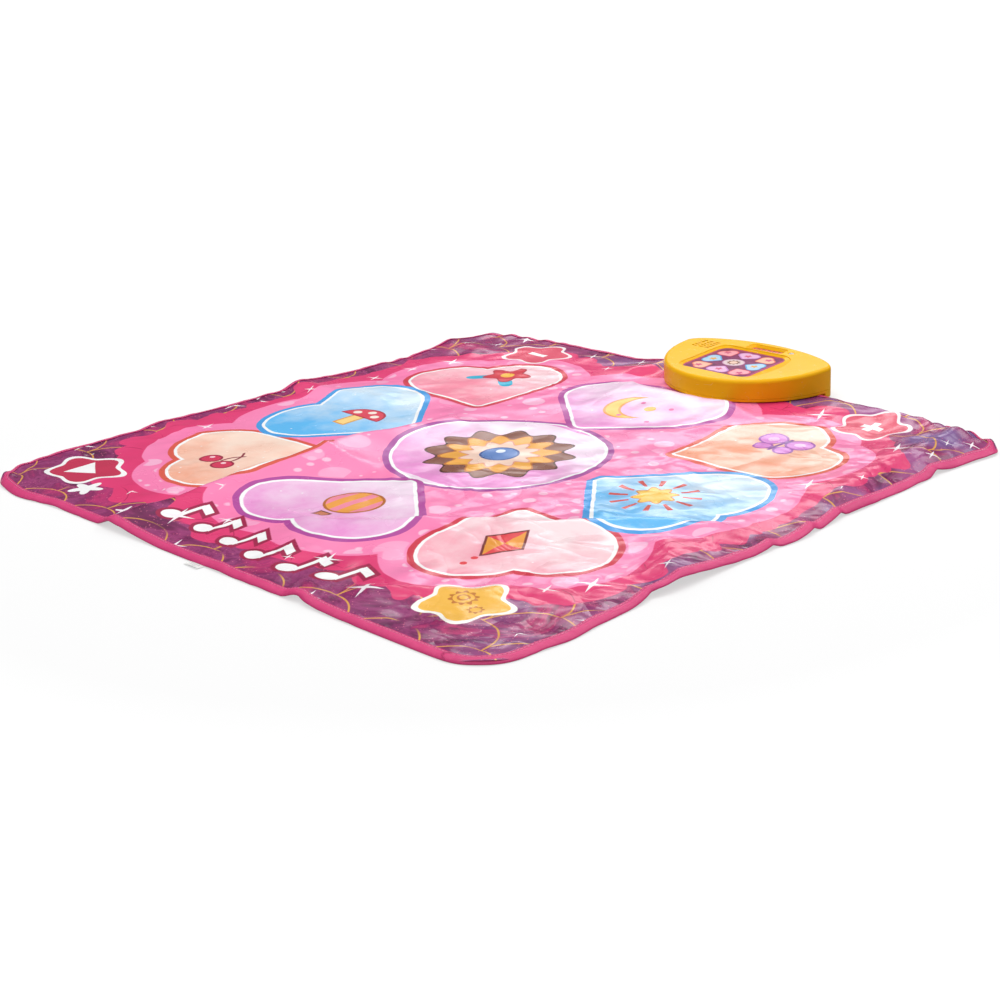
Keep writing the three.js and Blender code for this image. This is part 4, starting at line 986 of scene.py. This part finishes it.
def heart(lateral, along, size, spread, rounding):
    """Distance from a heart whose tip is at 0 and whose cleft lies along the axis, rounded outward."""
    p = abs(lateral) * (1 / (spread * size))
    q = along * (1 / size)
    top = length(p - 0.25, q - 0.75) - 0.35355
    diagonal = (p + q).most(0) * 0.5
    to_cleft = p * p + (q - 1) * (q - 1)
    to_side = (p - diagonal) * (p - diagonal) + (q - diagonal) * (q - diagonal)
    side = to_cleft.least(to_side).root() * ((p > q) * 2 - 1)
    lobe = (p + q) > 1
    return (side + lobe * (top - side)) * size - rounding


def star(x, y, radius, depth, points, turn=0.0):
    """Distance from a soft star or a flower with the given number of points."""
    wave = (bearing(x, y) * points + turn).cosine()
    return length(x, y) - (wave * (radius * depth) + radius * (1 - depth))


def box_distance(x, y, centre_x, centre_y, half_x, half_y):
    return (abs(x - centre_x) - half_x).most(abs(y - centre_y) - half_y)


class Print:
    """Paints one shape after another over a ground colour."""

    def __init__(self, finish, ground):
        self.finish = finish
        self.ink = ground

    def paint(self, mask, tone):
        self.ink = self.finish.mix(mask, self.ink, tone)

    def fill(self, distance, tone, inset=0, blur=0.8):
        """Paints the inside of an outline, or of a line drawn in from it, by the distance from it."""
        self.paint(distance.under(-inset, blur), tone)

    def rimmed(self, distance, tone, rim, rim_width):
        """A shape in one tone with a rim inside its outline."""
        self.fill(distance, rim)
        self.fill(distance, tone, rim_width)


def by_kind(f, kinds, tones):
    """Gives each pad the tone of its kind: a corner on either diagonal, the middle column or row."""
    second_diagonal, in_column, in_row = kinds
    corner, other_corner, column, row = tones
    return f.mix(in_row, f.mix(in_column, f.mix(second_diagonal, corner, other_corner), column), row)


def marbled_border(f, x, y):
    """A print with its ground: marble with painted sheen in pale lilac patches and magenta patches of its own
    tone, both growing toward the right, and drifts of red glitter.
    """
    p = Print(f, f.ramp(f.noise(95, 5.0, 0.62, 1.4), [
        (0.30, "520F40"), (0.41, "761A54"), (0.49, "A03A76"), (0.54, "82205E"), (0.63, "C02E70"),
        (0.74, "621648"),
    ]))
    # Painted sheen: the pale lilac patches stand in for the film's reflection on the right; the magenta
    # patches with them are the print's own tone.
    patch = f.noise(110, 2.0)
    sheen_and_tone_to_right = ((x + y) * 0.0012 + 0.22).most(0.06).least(0.9)
    p.paint(patch.over(0.56, 0.1) * sheen_and_tone_to_right, "84629E")
    p.paint(patch.under(0.42, 0.1) * sheen_and_tone_to_right, "A24A8C")
    glitter = f.cells(4.6).under(0.17, 0.05) * f.noise(120, 2.0).over(0.44, 0.1)
    p.paint(glitter, f.mix(f.noise(9), "CC3A5E", "E88AB0"))
    return p


def from_scales(x, y, size=52):
    """Distance from the lines of a pattern of fish scales."""
    odd = ((y / size).floor() % 2) * size
    sideways = ((x + odd) % (2 * size)) - size
    return abs(length(sideways, y % size) - size)


def printed_mat():
    """The cover's print on a glossy film: a marbled border with gold scales, a magenta band round a pink
    field with pale dots, nine pads, four keys and a row of notes."""
    f = Finish("printed_film", flat=True, Specular_IOR_Level=0.48)
    x0, y0, _ = f.parts(f.place)
    p = marbled_border(f, x0, y0)
    scales = from_scales(x0, y0)
    faint = f.noise(70, 1.0)
    p.paint(scales.under(0.95) * faint.over(0.42, 0.1), "E8A94B")

    # Distances from the pads and the ring, with a hand-drawn wobble
    x = x0 + (f.noise(34, 2.0) - 0.5) * 5
    row = y0 + (f.noise(41, 2.0) - 0.5) * 5 - MIDDLE_Y
    size, rounding = 162, 17
    corner_x, corner_y = abs(x) - 175, abs(row) - 134
    along = corner_x * 0.68 + corner_y * 0.733
    across = corner_x * 0.733 - corner_y * 0.68
    corner = heart(across, along, size, 1.0, rounding)
    side = heart(row, abs(x) - 172, size, 1.13, rounding)
    middle = heart(x, abs(row) - 146, size, 1.16, rounding)
    pads = corner.least(side).least(middle)
    ring = length(x, row) - 141
    reach = pads.least(ring)
    field = reach.least(length(x * 1.02, row) - 215)

    # Magenta band with a lobed outline, which keeps off the mat's edges, and pink field with pale dots
    lobes = abs(f.noise(70, 1.0) - 0.5) * 90
    from_edge = (HALF_WIDTH - abs(x0)).least(HALF_DEPTH - abs(y0))
    band = (reach - lobes - 60).most(36 - from_edge - lobes)
    p.fill(band, f.mix(f.noise(80), "DC2A66", "F04484"), blur=1.2)
    p.paint(scales.under(0.7, 0.6) * faint.over(0.52, 0.1) * band.under(-6, 4) * reach.over(34, 3), "BE1F5A")
    p.paint(field.under(31, 1.2), f.mix(f.noise(150, 2.0), "FF74AE", "FF98C6"))
    for spacing, largest, tone in ((62, 0.42, "FFA6CE"), (37, 0.42, "FFB9DA"), (23, 0.34, "FFC6E0")):
        own, _, _ = f.parts(f.cells(spacing, 1, 0.62))
        dot = f.cells(spacing, 0, 0.62) - own * largest
        p.paint(field.under(26, 2.0) * dot.under(0, 1.6 / spacing) * reach.over(3, 2), tone)

    # Pads: a coloured outline, a white line and a watercolour field
    in_column = middle.under(0.5) * (abs(x0) < 150)
    in_row = side.under(0.5) * (abs(x0) > 100)
    kinds = abs((x0 > 0) - (row > 0)), in_column, in_row
    depth = (f.noise(62, 4.0, 0.6) - 0.5) * 1.7 + 0.5 - (row - (row / 244).rounded() * 244) / 200
    washes = [f.mix(depth, pale, deep) for pale, deep in (
        ("FFE3D2", "F8A98B"), ("FFE4E8", "FA8FA8"), ("F9E2F4", "EE96D6"), ("D8EDFD", "5FBDF7"),
    )]
    p.fill(ring, "A94A9E")
    p.fill(ring, "FFFFFF", 8)
    p.fill(ring, washes[2], 12)
    p.fill(pads, by_kind(f, kinds, ("DF5A48", "D5374C", "B5489F", "45A0E6")))
    p.fill(pads, "FFFFFF", 7.5)
    p.fill(pads, by_kind(f, kinds, washes), 11.5)
    p.paint(f.cells(23).under(0.055, 0.04) * reach.under(-14) * 0.8, "FFFFFF")

    paint_motifs(p, x0, y0)
    paint_keys(p, x0, y0)
    off_keys = circle(abs(x0), y0, 300, 375, 70).least(circle(abs(x0), y0, 325, -358, 88))
    off_print = field.over(16, 3) * reach.over(16, 3) * off_keys.over(0, 3)
    p.paint(from_glints(f).under(0, 1.5) * off_print, "FFF6FB")

    # The film's creases, more of them to the right
    worn = ((f.noise(170, 2.0) - 0.5) * 3 + x0 * 0.0016 + 0.35).most(0.12).least(1.15)
    wide = abs(f.noise(96, 1.0, 0.5, 0.5, stretch=(1, 0.75, 1)) - 0.5)
    close = abs(f.noise(44, 1.0, 0.5, 0.8, stretch=(0.6, 1.1, 1)) - 0.5)
    puffs = f.noise(64, 1.0) * 10
    height = (wide * 15 + close * 5 * worn + puffs) * worn + f.noise(5, 2.0) * 0.03
    sheen = f.noise(48) * 0.12 + 0.2
    return f.give(base_color=p.ink, roughness=sheen, normal=f.bump(height))


def from_glints(f, spacing=82):
    """Distance from scattered glints: thin crosses, each of its own size."""
    nearest = f.cells(spacing, 2, 0.75)
    x, y, _ = f.parts(f.node("ShaderNodeVectorMath", {0: f.place, 1: nearest}, operation="SUBTRACT"))
    own, _, _ = f.parts(f.cells(spacing, 1, 0.75))
    one = abs(x * 0.92 + y * 0.38)
    other = abs(y * 0.92 - x * 0.38)
    return (one + other * 8).least(other + one * 8) - (own * 16 + 8)


def paint_motifs(p, x, y):
    """Plain little pictures in the pads and a rosette in the ring."""
    # Flower with leaves, back left
    u, v = x + 247, y - 258
    p.fill(length((u - 24) * 0.8 - (v + 22) * 0.6, ((v + 22) * 0.8 + (u - 24) * 0.6) * 2.2) - 22, "2FB4D6")
    p.fill(length((u + 24) * 0.8 + (v + 22) * 0.6, ((v + 22) * 0.8 - (u + 24) * 0.6) * 2.2) - 22, "2FB4D6")
    p.rimmed(star(u, v - 6, 36, 0.18, 5), "DA3A4A", "B32238", 3)
    p.fill(circle(u, v, 0, 6, 10), "FBC24B")

    # Crescent moon with dots, back middle
    u, v = x - 4, y - 246
    moon = circle(u, v, 0, 0, 38).most(34 - length(u - 17, v - 10))
    p.rimmed(moon, "FFC64A", "E8932B", 3.5)
    p.fill(circle(abs(u - 26), abs(v + 4), 24, 24, 3.4), "E66AA6")
    p.fill(circle(u, v, 24, 8, 8), "FFB63A")

    # Butterfly, back right
    u, v = abs(x - 246), y - 246
    wings = circle(u, v, 20, 13, 19).least(circle(u, v, 15, -15, 13))
    p.rimmed(wings, "D987DB", "9A4FB2", 3)
    p.fill(circle(u, v, 20, 13, 7), "F3C3F0")
    p.fill(box_distance(u, v, 0, 0, 2.4, 26), "7A3A96")

    # Toadstool, left
    u, v = x + 258, y - 6
    p.rimmed(box_distance(u, v, 0, -20, 11, 20), "FFD98A", "E39A3C", 3)
    cap = circle(u, v, 0, -4, 36).most(-4 - v)
    p.rimmed(cap, "E2455A", "B3283E", 3)
    p.fill(circle(abs(u), v, 17, 9, 6).least(circle(u, v, 0, 20, 6)), "FFF1E6")

    # Rosette in the ring
    u, v = x - 2, y - 8
    p.rimmed(star(u, v, 96, 0.09, 12), "8A5442", "5E352B", 3.5)
    p.rimmed(star(u, v, 76, 0.12, 12, math.pi), "F4AE45", "C8772A", 3.5)
    p.rimmed(star(u, v, 52, 0.12, 12), "FBD7C4", "E59A86", 3)
    p.rimmed(circle(u, v, 0, 0, 25), "5F86C8", "37599B", 3)
    p.fill(circle(u, v, -6, 8, 6), "EAF3FF")

    # Sun, right
    u, v = x - 252, y - 10
    rays = abs(length(u, v) - 42).under(11) * (bearing(u, v) * 12).cosine().over(0.72, 0.12)
    p.paint(rays, "D9534E")
    p.rimmed(star(u, v, 28, 0.14, 8), "FFCB52", "D98A2B", 3)

    # Cherries, front left
    u, v = x + 250, y + 222
    p.paint(abs(length(u + 26, v - 4) - 38).under(1.6) * v.over(-2) * u.over(-2), "8C2B3F")
    p.paint(abs(length(u - 30, v - 2) - 30).under(1.6) * v.over(-4) * u.under(12), "8C2B3F")
    p.rimmed(circle(u, v, 14, -12, 15).least(circle(u, v, -17, -6, 15)), "D9365C", "9F1F43", 3)
    p.fill(circle(u, v, 10, -7, 3.4).least(circle(u, v, -21, -1, 3.4)), "FFD7E0")

    # Balloon, front middle
    u, v = x - 2, y + 232
    p.rimmed(circle(u, v, 0, 10, 36), "F2A347", "B96A2C", 3.5)
    p.paint(circle(u, v, 0, 10, 32.5).under(0) * (u * 0.24).cosine().over(0.2, 0.2), "F58FA8")
    p.rimmed(box_distance(u, v, 0, -38, 10, 8), "C77B49", "7C4630", 2.5)

    # Kite, front right
    u, v = x - 238, y + 212
    kite = (abs(u) * (1 / 29) + abs(v) * (1 / 38) - 1) * 23
    p.fill(kite, "7C3030")
    quarter = abs((u > 0) - (v > 0))
    p.paint(kite.under(-3) * quarter, "E8474F")
    p.paint(kite.under(-3) * (1 - quarter), "F2A03F")
    p.fill(circle(abs(v + 52), u, 8, 0, 4), "E8474F")


def paint_keys(p, x, y):
    """The four keys in the corners and the row of notes along the front edge."""
    u, v = (x + 354) * 0.8, y + 350
    p.fill(star(u, v, 50, 0.12, 5), "FFFFFF")
    p.fill(star(u, v, 43, 0.12, 5), "C92F55")
    play = (abs(v) * 0.8 + (u + 13) * 0.6 - 18).most(-13 - u)
    p.fill(play, "FFFFFF")
    p.fill(star(x + 290, y + 392, 22, 0.26, 5, 0.6), "FFFFFF")

    u, v = x - 320, y + 345
    p.fill(star(u, v, 54, 0.14, 5), "FFFDF6")
    p.fill(star(u, v, 47, 0.14, 5), "FBC04C")
    gear = star(u + 8, v - 4, 16, 0.12, 10)
    p.paint(gear.under(0) * circle(u, v, -8, 4, 11).over(0), "C97A2E")
    p.paint(circle(u, v, -8, 4, 7).under(0) * circle(u, v, -8, 4, 4.5).over(0), "C97A2E")
    p.paint(star(u - 19, v + 6, 9, 0.14, 8).under(0) * circle(u, v, 19, -6, 5.5).over(0), "C97A2E")

    sign_x, sign_y = abs(x) - 292, y - 371
    p.fill(star(sign_x, sign_y, 53, 0.14, 5), "FFF4F6")
    p.fill(star(sign_x, sign_y, 47, 0.14, 5), "E4546F")
    level_bar = box_distance(sign_x, sign_y, 0, 0, 15, 5)
    upright_bar = box_distance(sign_x, sign_y, 0, 0, 5, 15) + (x < 0) * 100
    p.fill(level_bar.least(upright_bar), "FFFFFF")

    wave = (x * 0.021).sine() * 8
    u = ((x + 194) % 56) - 28
    v = y + 378 + wave
    head = length(u + 9, (v + 15) * 1.25) - 12.5
    stem = box_distance(u, v, 1.4, 4, 3.0, 21)
    flag = box_distance(u, v + u * 0.5, 10, 24, 11, 6)
    note = head.least(stem).least(flag)
    along = abs(x - 30).under(168, 1)
    p.paint(note.under(6, 1.5) * along, "A3184A")
    p.paint(note.under(0) * along, "FFFFFF")


def sewn_tape():
    """Woven tape, sewn down with a running stitch near its inner edge, with painted shade in the groove along
    the stitches.
    """
    f = Finish("sewn_tape", flat=True, Specular_IOR_Level=0.35)
    along, across, _ = f.parts(f.place)
    ribs = (along * 4.4).sine() * 0.5 + 0.5
    weft = (across * 7.5).sine() * 0.5 + 0.5
    puffs = f.noise(6.5, stretch=(1, 0.4, 1))
    ink = f.mix(f.noise(55), "D93479", "EE4D89")
    ink = f.mix(ribs * 0.16, ink, "B92465")
    from_seam = abs(across - 2.1)
    stitch = from_seam.under(0.42, 0.2) * from_lines(along, 4.6).under(1.65, 0.3)
    ink = f.mix(stitch, ink, "FF8FBB")
    # Painted shade: the groove beside the stitches is darkened, and the bump also sinks it.
    groove_and_shade = from_seam.under(1.5, 1.2) * (1 - stitch)
    ink = f.mix(groove_and_shade * 0.3, ink, "A81E58")
    height = ribs * 0.06 + weft * 0.05 + puffs * 0.5 + stitch * 0.35 - groove_and_shade * 0.25
    return f.give(base_color=ink, roughness=puffs * 0.12 + 0.32, normal=f.bump(height))


def backing_cloth():
    """Non-slip backing: grey cloth with rows of grip dots."""
    f = Finish("backing_cloth", flat=True, Roughness=0.85)
    x, y, _ = f.parts(f.place)
    shift = ((y / 6).floor() % 2) * 3
    dot = length(((x + shift) % 6) - 3, (y % 6) - 3)
    weave = (x * 9).sine() * (y * 9).sine()
    ink = f.mix(f.noise(60), "4C4750", "5E5963")
    ink = f.mix(weave * 0.2 + 0.2, ink, "3B363F")
    ink = f.mix(dot.under(1.1, 0.3), ink, "8B8791")
    height = dot.under(1.1, 0.6) * 0.35 + weave * 0.05
    return f.give(base_color=ink, normal=f.bump(height))


def circuit_film():
    """Clear grey film with printed conductor lines that run to the pads."""
    f = Finish("circuit_film", flat=True)
    x, y, _ = f.parts(f.place)
    lines = from_lines(x, 41).under(0.8, 0.3).most(from_lines(y, 59).under(0.8, 0.3))
    cloud = f.noise(45)
    ink = f.mix(cloud, "D5DADF", "E6EAED")
    ink = f.mix(lines, ink, "7D8288")
    return f.give(base_color=ink, roughness=cloud * 0.2 + 0.22, normal=f.bump(lines * 0.1 + cloud * 0.2))


def spacer_foam():
    f = Finish("spacer_foam", Roughness=0.95)
    pores = f.cells(1.4)
    ink = f.mix(f.noise(30), "F2EEE4", "E4DDCC")
    # Painted shade: the pores are darkened where the bump sinks them into pits.
    ink = f.mix(pores.under(0.22, 0.2), ink, "B9B09C")
    return f.give(base_color=ink, normal=f.bump(pores, 0.4))


def carbon_ink():
    """Printed carbon with a silver comb under it."""
    f = Finish("carbon_ink", flat=True)
    x, _, _ = f.parts(f.place)
    comb = from_lines(x, 6).under(0.9, 0.3)
    grain = f.noise(1.2)
    ink = f.mix(grain, "2B2D31", "404349")
    ink = f.mix(comb * 0.7, ink, "8F9399")
    return f.give(base_color=ink, roughness=grain * 0.25 + 0.45, normal=f.bump(comb * 0.1 + grain * 0.1))


def woven_label():
    f = Finish("woven_label", flat=True, Roughness=0.7)
    x, y, _ = f.parts(f.place)
    weave = (x * 8).sine() * 0.5 + (y * 5).sine() * 0.5
    ink = f.mix(weave * 0.3 + 0.4, "FBFBF8", "DADBDA")
    ink = f.mix(f.noise(9, 2.0) * 0.5, ink, "EDEDEA")
    line = from_lines(y, 2.2).under(0.35, 0.3) * abs(x - 14).under(8.5, 1)
    ink = f.mix(line * 0.6, ink, "8E9094")
    return f.give(base_color=ink, normal=f.bump(weave * 0.08))


def moulded_plastic(name, tone, shade, roughness=0.34, grain=0.05, **constants):
    """Injection moulded plastic: a fine spark-eroded grain, faint flow marks and rubbed places."""
    f = Finish(name, **constants)
    flow = f.noise(46, 3.0, 0.5, 0.8, stretch=(1, 0.5, 1.4))
    fine = f.noise(0.55, 2.0)
    rubbed = f.noise(13, 5.0, 0.65)
    scratch = abs(f.noise(9, 1.0, 0.4, 0.3, stretch=(0.12, 1.6, 0.6)) - 0.5).under(0.004, 0.006)
    ink = f.mix(flow, tone, shade)
    ink = f.mix(fine * 0.02, ink, "FFFFFF")
    ink = f.mix(scratch * rubbed.over(0.56, 0.06) * 0.2, ink, "FFF6DA")
    height = fine * grain + scratch * 0.02
    spread = rubbed * 0.16 + fine * 0.06 + (roughness - 0.11)
    return f.give(base_color=ink, roughness=spread, normal=f.bump(height))


def from_box(f, x, y):
    """How far a place lies in X and in Y from one on the box."""
    at_x, at_y, _ = f.parts(f.place)
    return at_x - (BOX_PLACE[0] + x), at_y - (BOX_PLACE[1] + y)


def display_print():
    """The display's face: nine small pads that light up, printed under a clear window."""
    f = Finish("display_print", Roughness=0.35, Specular_IOR_Level=0.12)
    x, y = from_box(f, DISPLAY_X, DISPLAY_Y)
    x = x * (DISPLAY_HALF_Y / DISPLAY_HALF_X)
    marble = f.noise(14, 4.0, 0.6, 1.2)
    p = Print(f, f.ramp(marble, [(0.3, "4A0F38"), (0.5, "8A2464"), (0.7, "601446")]))
    p.paint(box_distance(x, y, 0, 0, 48.6, 48.6).over(-3.2, 0.5), "B02A6B")
    size, rounding = 18, 2.6
    out_x, out_y = abs(x) - 20.5, abs(y) - 20.5
    corner = heart((out_x - out_y) * 0.7071, (out_x + out_y) * 0.7071, size, 1.05, rounding)
    side = heart(y, out_x, size, 1.15, rounding)
    middle = heart(x, out_y, size, 1.15, rounding)
    pads = corner.least(side).least(middle)
    ring = length(x * 0.92, y) - 13.5
    in_column = middle.under(0.2) * (abs(y) > 17)
    in_row = side.under(0.2) * (abs(x) > 17)
    kinds = abs((x > 0) - (y > 0)), in_column, in_row
    rim = by_kind(f, kinds, ("E8705C", "E2506A", "C47AC6", "49A8E0"))
    face = by_kind(f, kinds, ("EFB090", "EE93A4", "DFA6D6", "9CCDEC"))
    p.fill(ring, "C88FB8", blur=0.3)
    p.fill(ring, "DCC6C8", 1.4, 0.3)
    p.fill(pads, rim, blur=0.3)
    p.fill(pads, f.mix(f.noise(7) * 0.35, face, "FBE4DC"), 1.7, 0.3)
    cell_x, cell_y = x - (x / 31).rounded() * 31, y - (y / 31).rounded() * 31
    motif = star(cell_x, cell_y, 5.2, 0.2, 5)
    p.paint(motif.under(0, 0.3) * (1 - ring.under(0)), f.mix(in_row, "D2557E", "E2A24A"))
    p.fill(star(x, y, 9, 0.12, 10), "8A5A48", blur=0.3)
    p.fill(circle(x, y, 0, 0, 5), "F0C9B4", blur=0.3)
    return f.give(base_color=p.ink, normal=f.bump(f.noise(11, 2.0), 0.06))


def slot_print():
    """The slot window's face: dark, with a row of red signs that light up."""
    f = Finish("slot_print", Roughness=0.35, Coat_Weight=0.15, Coat_Roughness=0.2)
    x, y = from_box(f, SLOT_X, SLOT_Y)
    cloud = f.noise(5)
    p = Print(f, f.mix(cloud, "5F4B3C", "77624E"))
    u = ((x + 27) % 9) - 4.5
    bar = box_distance(u, y, 0, 1.6, 3.3, 4.4)
    p.fill(bar, "F0453C", blur=0.3)
    p.fill(box_distance(u, y, 0, 1.6, 1.2, 2.0), "8A4032", blur=0.3)
    return f.give(base_color=p.ink, normal=f.bump(cloud, 0.05))


def light_lens():
    f = Finish("light_lens", Transmission_Weight=0.35, IOR=1.49)
    milk = f.noise(1.8)
    ink = f.mix(milk, "F5F0EA", "FFFFFF")
    return f.give(base_color=ink, roughness=milk * 0.15 + 0.18, normal=f.bump(milk, 0.05))


def circuit_board():
    f = Finish("circuit_board", Roughness=0.4)
    x, y, _ = f.parts(f.place)
    track = from_lines(x, 5).under(0.35, 0.15) * from_lines(y, 17).over(1.5, 0.3)
    pad = length((x % 10) - 5, (y % 10) - 5).under(0.8, 0.2)
    grain = f.noise(2.0)
    ink = f.mix(grain, "1B5F3D", "23754B")
    ink = f.mix(track * 0.6, ink, "3C9966")
    ink = f.mix(pad, ink, "C9CCCF")
    return f.give(base_color=ink, normal=f.bump(track * 0.1 + pad * 0.15))


def cone_paper():
    f = Finish("cone_paper", Roughness=0.9)
    rings = (length(*from_box(f, *SPEAKER_PLACE)) * 3.2).sine()
    fibre = f.noise(1.3, 4.0)
    ink = f.mix(fibre, "3F372F", "54493E")
    return f.give(base_color=ink, normal=f.bump(rings * 0.12 + fibre * 0.2))


def foot_rubber():
    f = Finish("foot_rubber")
    x, y, _ = f.parts(f.place)
    tread = (x * 2.6).sine() * (y * 2.6).sine()
    dust = f.noise(3.5, 4.0)
    ink = f.mix(dust * 0.5, "2C2C2E", "4A4A4C")
    return f.give(base_color=ink, roughness=dust * 0.2 + 0.72, normal=f.bump(tread * 0.2 + dust * 0.1))


def battery_wrap():
    f = Finish("battery_wrap")
    x, _ = from_box(f, 0, 0)
    from_middle = abs(abs(x) - 25.25)
    wear = f.noise(6, 4.0)
    ink = f.mix(wear, "27538F", "3567AE")
    ink = f.mix(from_middle.over(13, 0.4), ink, "C9A14A")
    ends = from_middle.over(23.2, 0.4)
    ink = f.mix(ends, ink, "B9BCC0")
    return f.give(base_color=ink, metallic=ends, roughness=wear * 0.15 + 0.22, normal=f.bump(wear, 0.05))


def plated_steel():
    f = Finish("plated_steel", Metallic=1.0)
    brushed = f.noise(1.1, stretch=(0.3, 3, 1))
    spots = f.noise(5, 4.0)
    ink = f.mix(brushed, "B9BCC0", "D3D5D8")
    ink = f.mix(spots.over(0.6, 0.1) * 0.4, ink, "8E8A84")
    return f.give(base_color=ink, roughness=brushed * 0.2 + spots * 0.1 + 0.15, normal=f.bump(brushed, 0.03))


# Camera, lamps and floor


def add_camera():
    """The photograph's view: where it was taken from, what its middle looks at, and its tilt to a side."""
    place, aim, tilt = Vector((1.58417, -1.47876, 0.70085)), Vector((0.1153, -0.1008, 0)), -0.0449
    turn = (aim - place).to_track_quat("-Z", "Y") @ Quaternion((0, 0, 1), tilt)
    bpy.ops.object.camera_add()
    camera = bpy.context.object
    camera.name = "camera"
    camera.matrix_world = Matrix.LocRotScale(place, turn, None)
    camera.data.sensor_width = 36
    camera.data.lens = 67.355
    camera.data.clip_end = 500
    bpy.context.scene.camera = camera


def add_lamp(name, place, target, width, height, power):
    bpy.ops.object.light_add(type="AREA", location=place)
    lamp = bpy.context.object
    lamp.name = name
    lamp.data.shape = "ELLIPSE"
    lamp.data.size = width
    lamp.data.size_y = height
    lamp.data.energy = power
    away = Vector(place) - Vector(target)
    lamp.rotation_euler = away.to_track_quat("Z", "Y").to_euler()


def add_floor():
    """A pale floor that the camera sees as white but for the object's shadow near it."""
    floor = added("floor", bpy.ops.mesh.primitive_plane_add, size=400, location=(0, 0, -0.0002))
    f = Finish("pale_floor", Base_Color=grey(0.36), Roughness=0.9, Specular_IOR_Level=0, Emission_Strength=1)
    camera_ray, glossy_ray, passing_ray = (
        f.node("ShaderNodeLightPath", output=f"Is {kind} Ray")
        for kind in ("Camera", "Glossy", "Transmission")
    )
    x, y, _ = f.parts(f.place)
    away = (length(x, y) * MM - 0.7).most(0).least(1)
    glow = f.mix(away, grey(0.6), grey(1))
    seen = camera_ray.most(glossy_ray).most(passing_ray)
    floor.data.materials.append(f.give(emission_color=f.mix(seen, grey(0), glow)))


def add_lamps():
    """A studio that is pale overhead and dim toward the horizon, wide lamps above and behind the mat, and
    a low one whose sheen lies on the right of the mat."""
    world = bpy.data.worlds.new("studio")
    bpy.context.scene.world = world
    world.use_nodes = True
    nodes, links = world.node_tree.nodes, world.node_tree.links
    where = nodes.new("ShaderNodeTexCoord")
    split = nodes.new("ShaderNodeSeparateXYZ")
    ramp = nodes.new("ShaderNodeValToRGB")
    links.new(where.outputs["Generated"], split.inputs[0])
    links.new(split.outputs[2], ramp.inputs[0])
    links.new(ramp.outputs[0], nodes["Background"].inputs[0])
    set_stops(ramp.color_ramp, [(0.0, grey(0.12)), (0.38, grey(0.12)), (0.6, grey(0.42)), (0.85, grey(0.8))])
    add_lamp("back_lamp", (0.9, 2.4, 2.6), (0.1, 0, 0), 2.0, 2.0, 30)
    add_lamp("top_lamp", (-0.5, 0.2, 3.2), (0, 0, 0), 2.2, 2.2, 46)
    add_lamp("front_lamp", (1.6, -2.6, 2.4), (0, 0, 0), 2.0, 2.0, 10)
    add_lamp("sheen_lamp", (-1.0, 1.68, 0.95), (0.4, 0.0, 0), 1.5, 0.5, 6)


# Putting the pieces in their places

slot_of = {subpart["node"]: subpart["material_slot"] for subpart in frame["record"]["subparts"]}
finishes = {
    "printed_cover": printed_mat(),
    "binding": sewn_tape(),
    "backing": backing_cloth(),
    "film": circuit_film(),
    "foam": spacer_foam(),
    "contact_ink": carbon_ink(),
    "label": woven_label(),
    "housing": moulded_plastic(
        "yellow_plastic", "FFC300", "FBB900", 0.25, 0.012,
        Specular_IOR_Level=0.1, Specular_Tint=(1, 0.8, 0.35, 1),
    ),
    "display_print": display_print(),
    "slot_print": slot_print(),
    "light_lens": light_lens(),
    "white_plastic": moulded_plastic("white_plastic", "F1F1EC", "E6E6E0", 0.45),
    "board": circuit_board(),
    "black_plastic": moulded_plastic("black_plastic", "222326", "2B2C30", 0.5),
    "speaker_cone": cone_paper(),
    "rubber": foot_rubber(),
    "battery": battery_wrap(),
    "steel": plated_steel(),
}
for node, slot in slot_of.items():
    carried = frame["nodes"][node]
    carried.data.materials.clear()
    carried.data.materials.append(finishes[slot])


def stand_for(piece, node, body="root"):
    """Puts a piece in the place of a node of the model, on its body and in its finish."""
    piece.data.materials.clear()
    piece.data.materials.append(finishes[slot_of[node]])
    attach(piece, body)
    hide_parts(node)


add_camera()
add_floor()
add_lamps()

layers = mat_layers()
for node, piece in layers.items():
    stand_for(piece, node)
for body, piece in contact_patches().items():
    stand_for(piece, f"{body}_contact", body)
tape = edge_tape()
stand_for(tape, "edge_binding")
tag = care_tag()
stand_for(tag, "care_label")

stand_for(softly(top_shell()), "top_housing")
stand_for(softly(bottom_shell()), "bottom_housing")
display = lens(
    "display_window", DISPLAY_X, DISPLAY_Y, DISPLAY_HALF_X, DISPLAY_HALF_Y, DISPLAY_CORNER,
    DISPLAY_LENS_LOW, -DISPLAY_DEPTH,
)
stand_for(display, "display_lens")
slot_window = lens(
    "slot_window", SLOT_X, SLOT_Y, SLOT_FLOOR_X, SLOT_FLOOR_Y, SLOT_CORNER, SLOT_LENS_LOW, -SLOT_DEPTH,
)
stand_for(slot_window, "slot_window_lens")
stand_for(power_lamp(), "power_light_lens")
for side, sign in (("left", -1), ("right", 1)):
    stand_for(rubber_foot(f"foot_pad_{side}", sign), f"rubber_foot_{side}")
stand_for(battery_cover(), "battery_door", "battery_door")
stand_for(clamp_strip(), "mat_clamp_bar")

bpy.context.scene.view_settings.view_transform = "Standard"
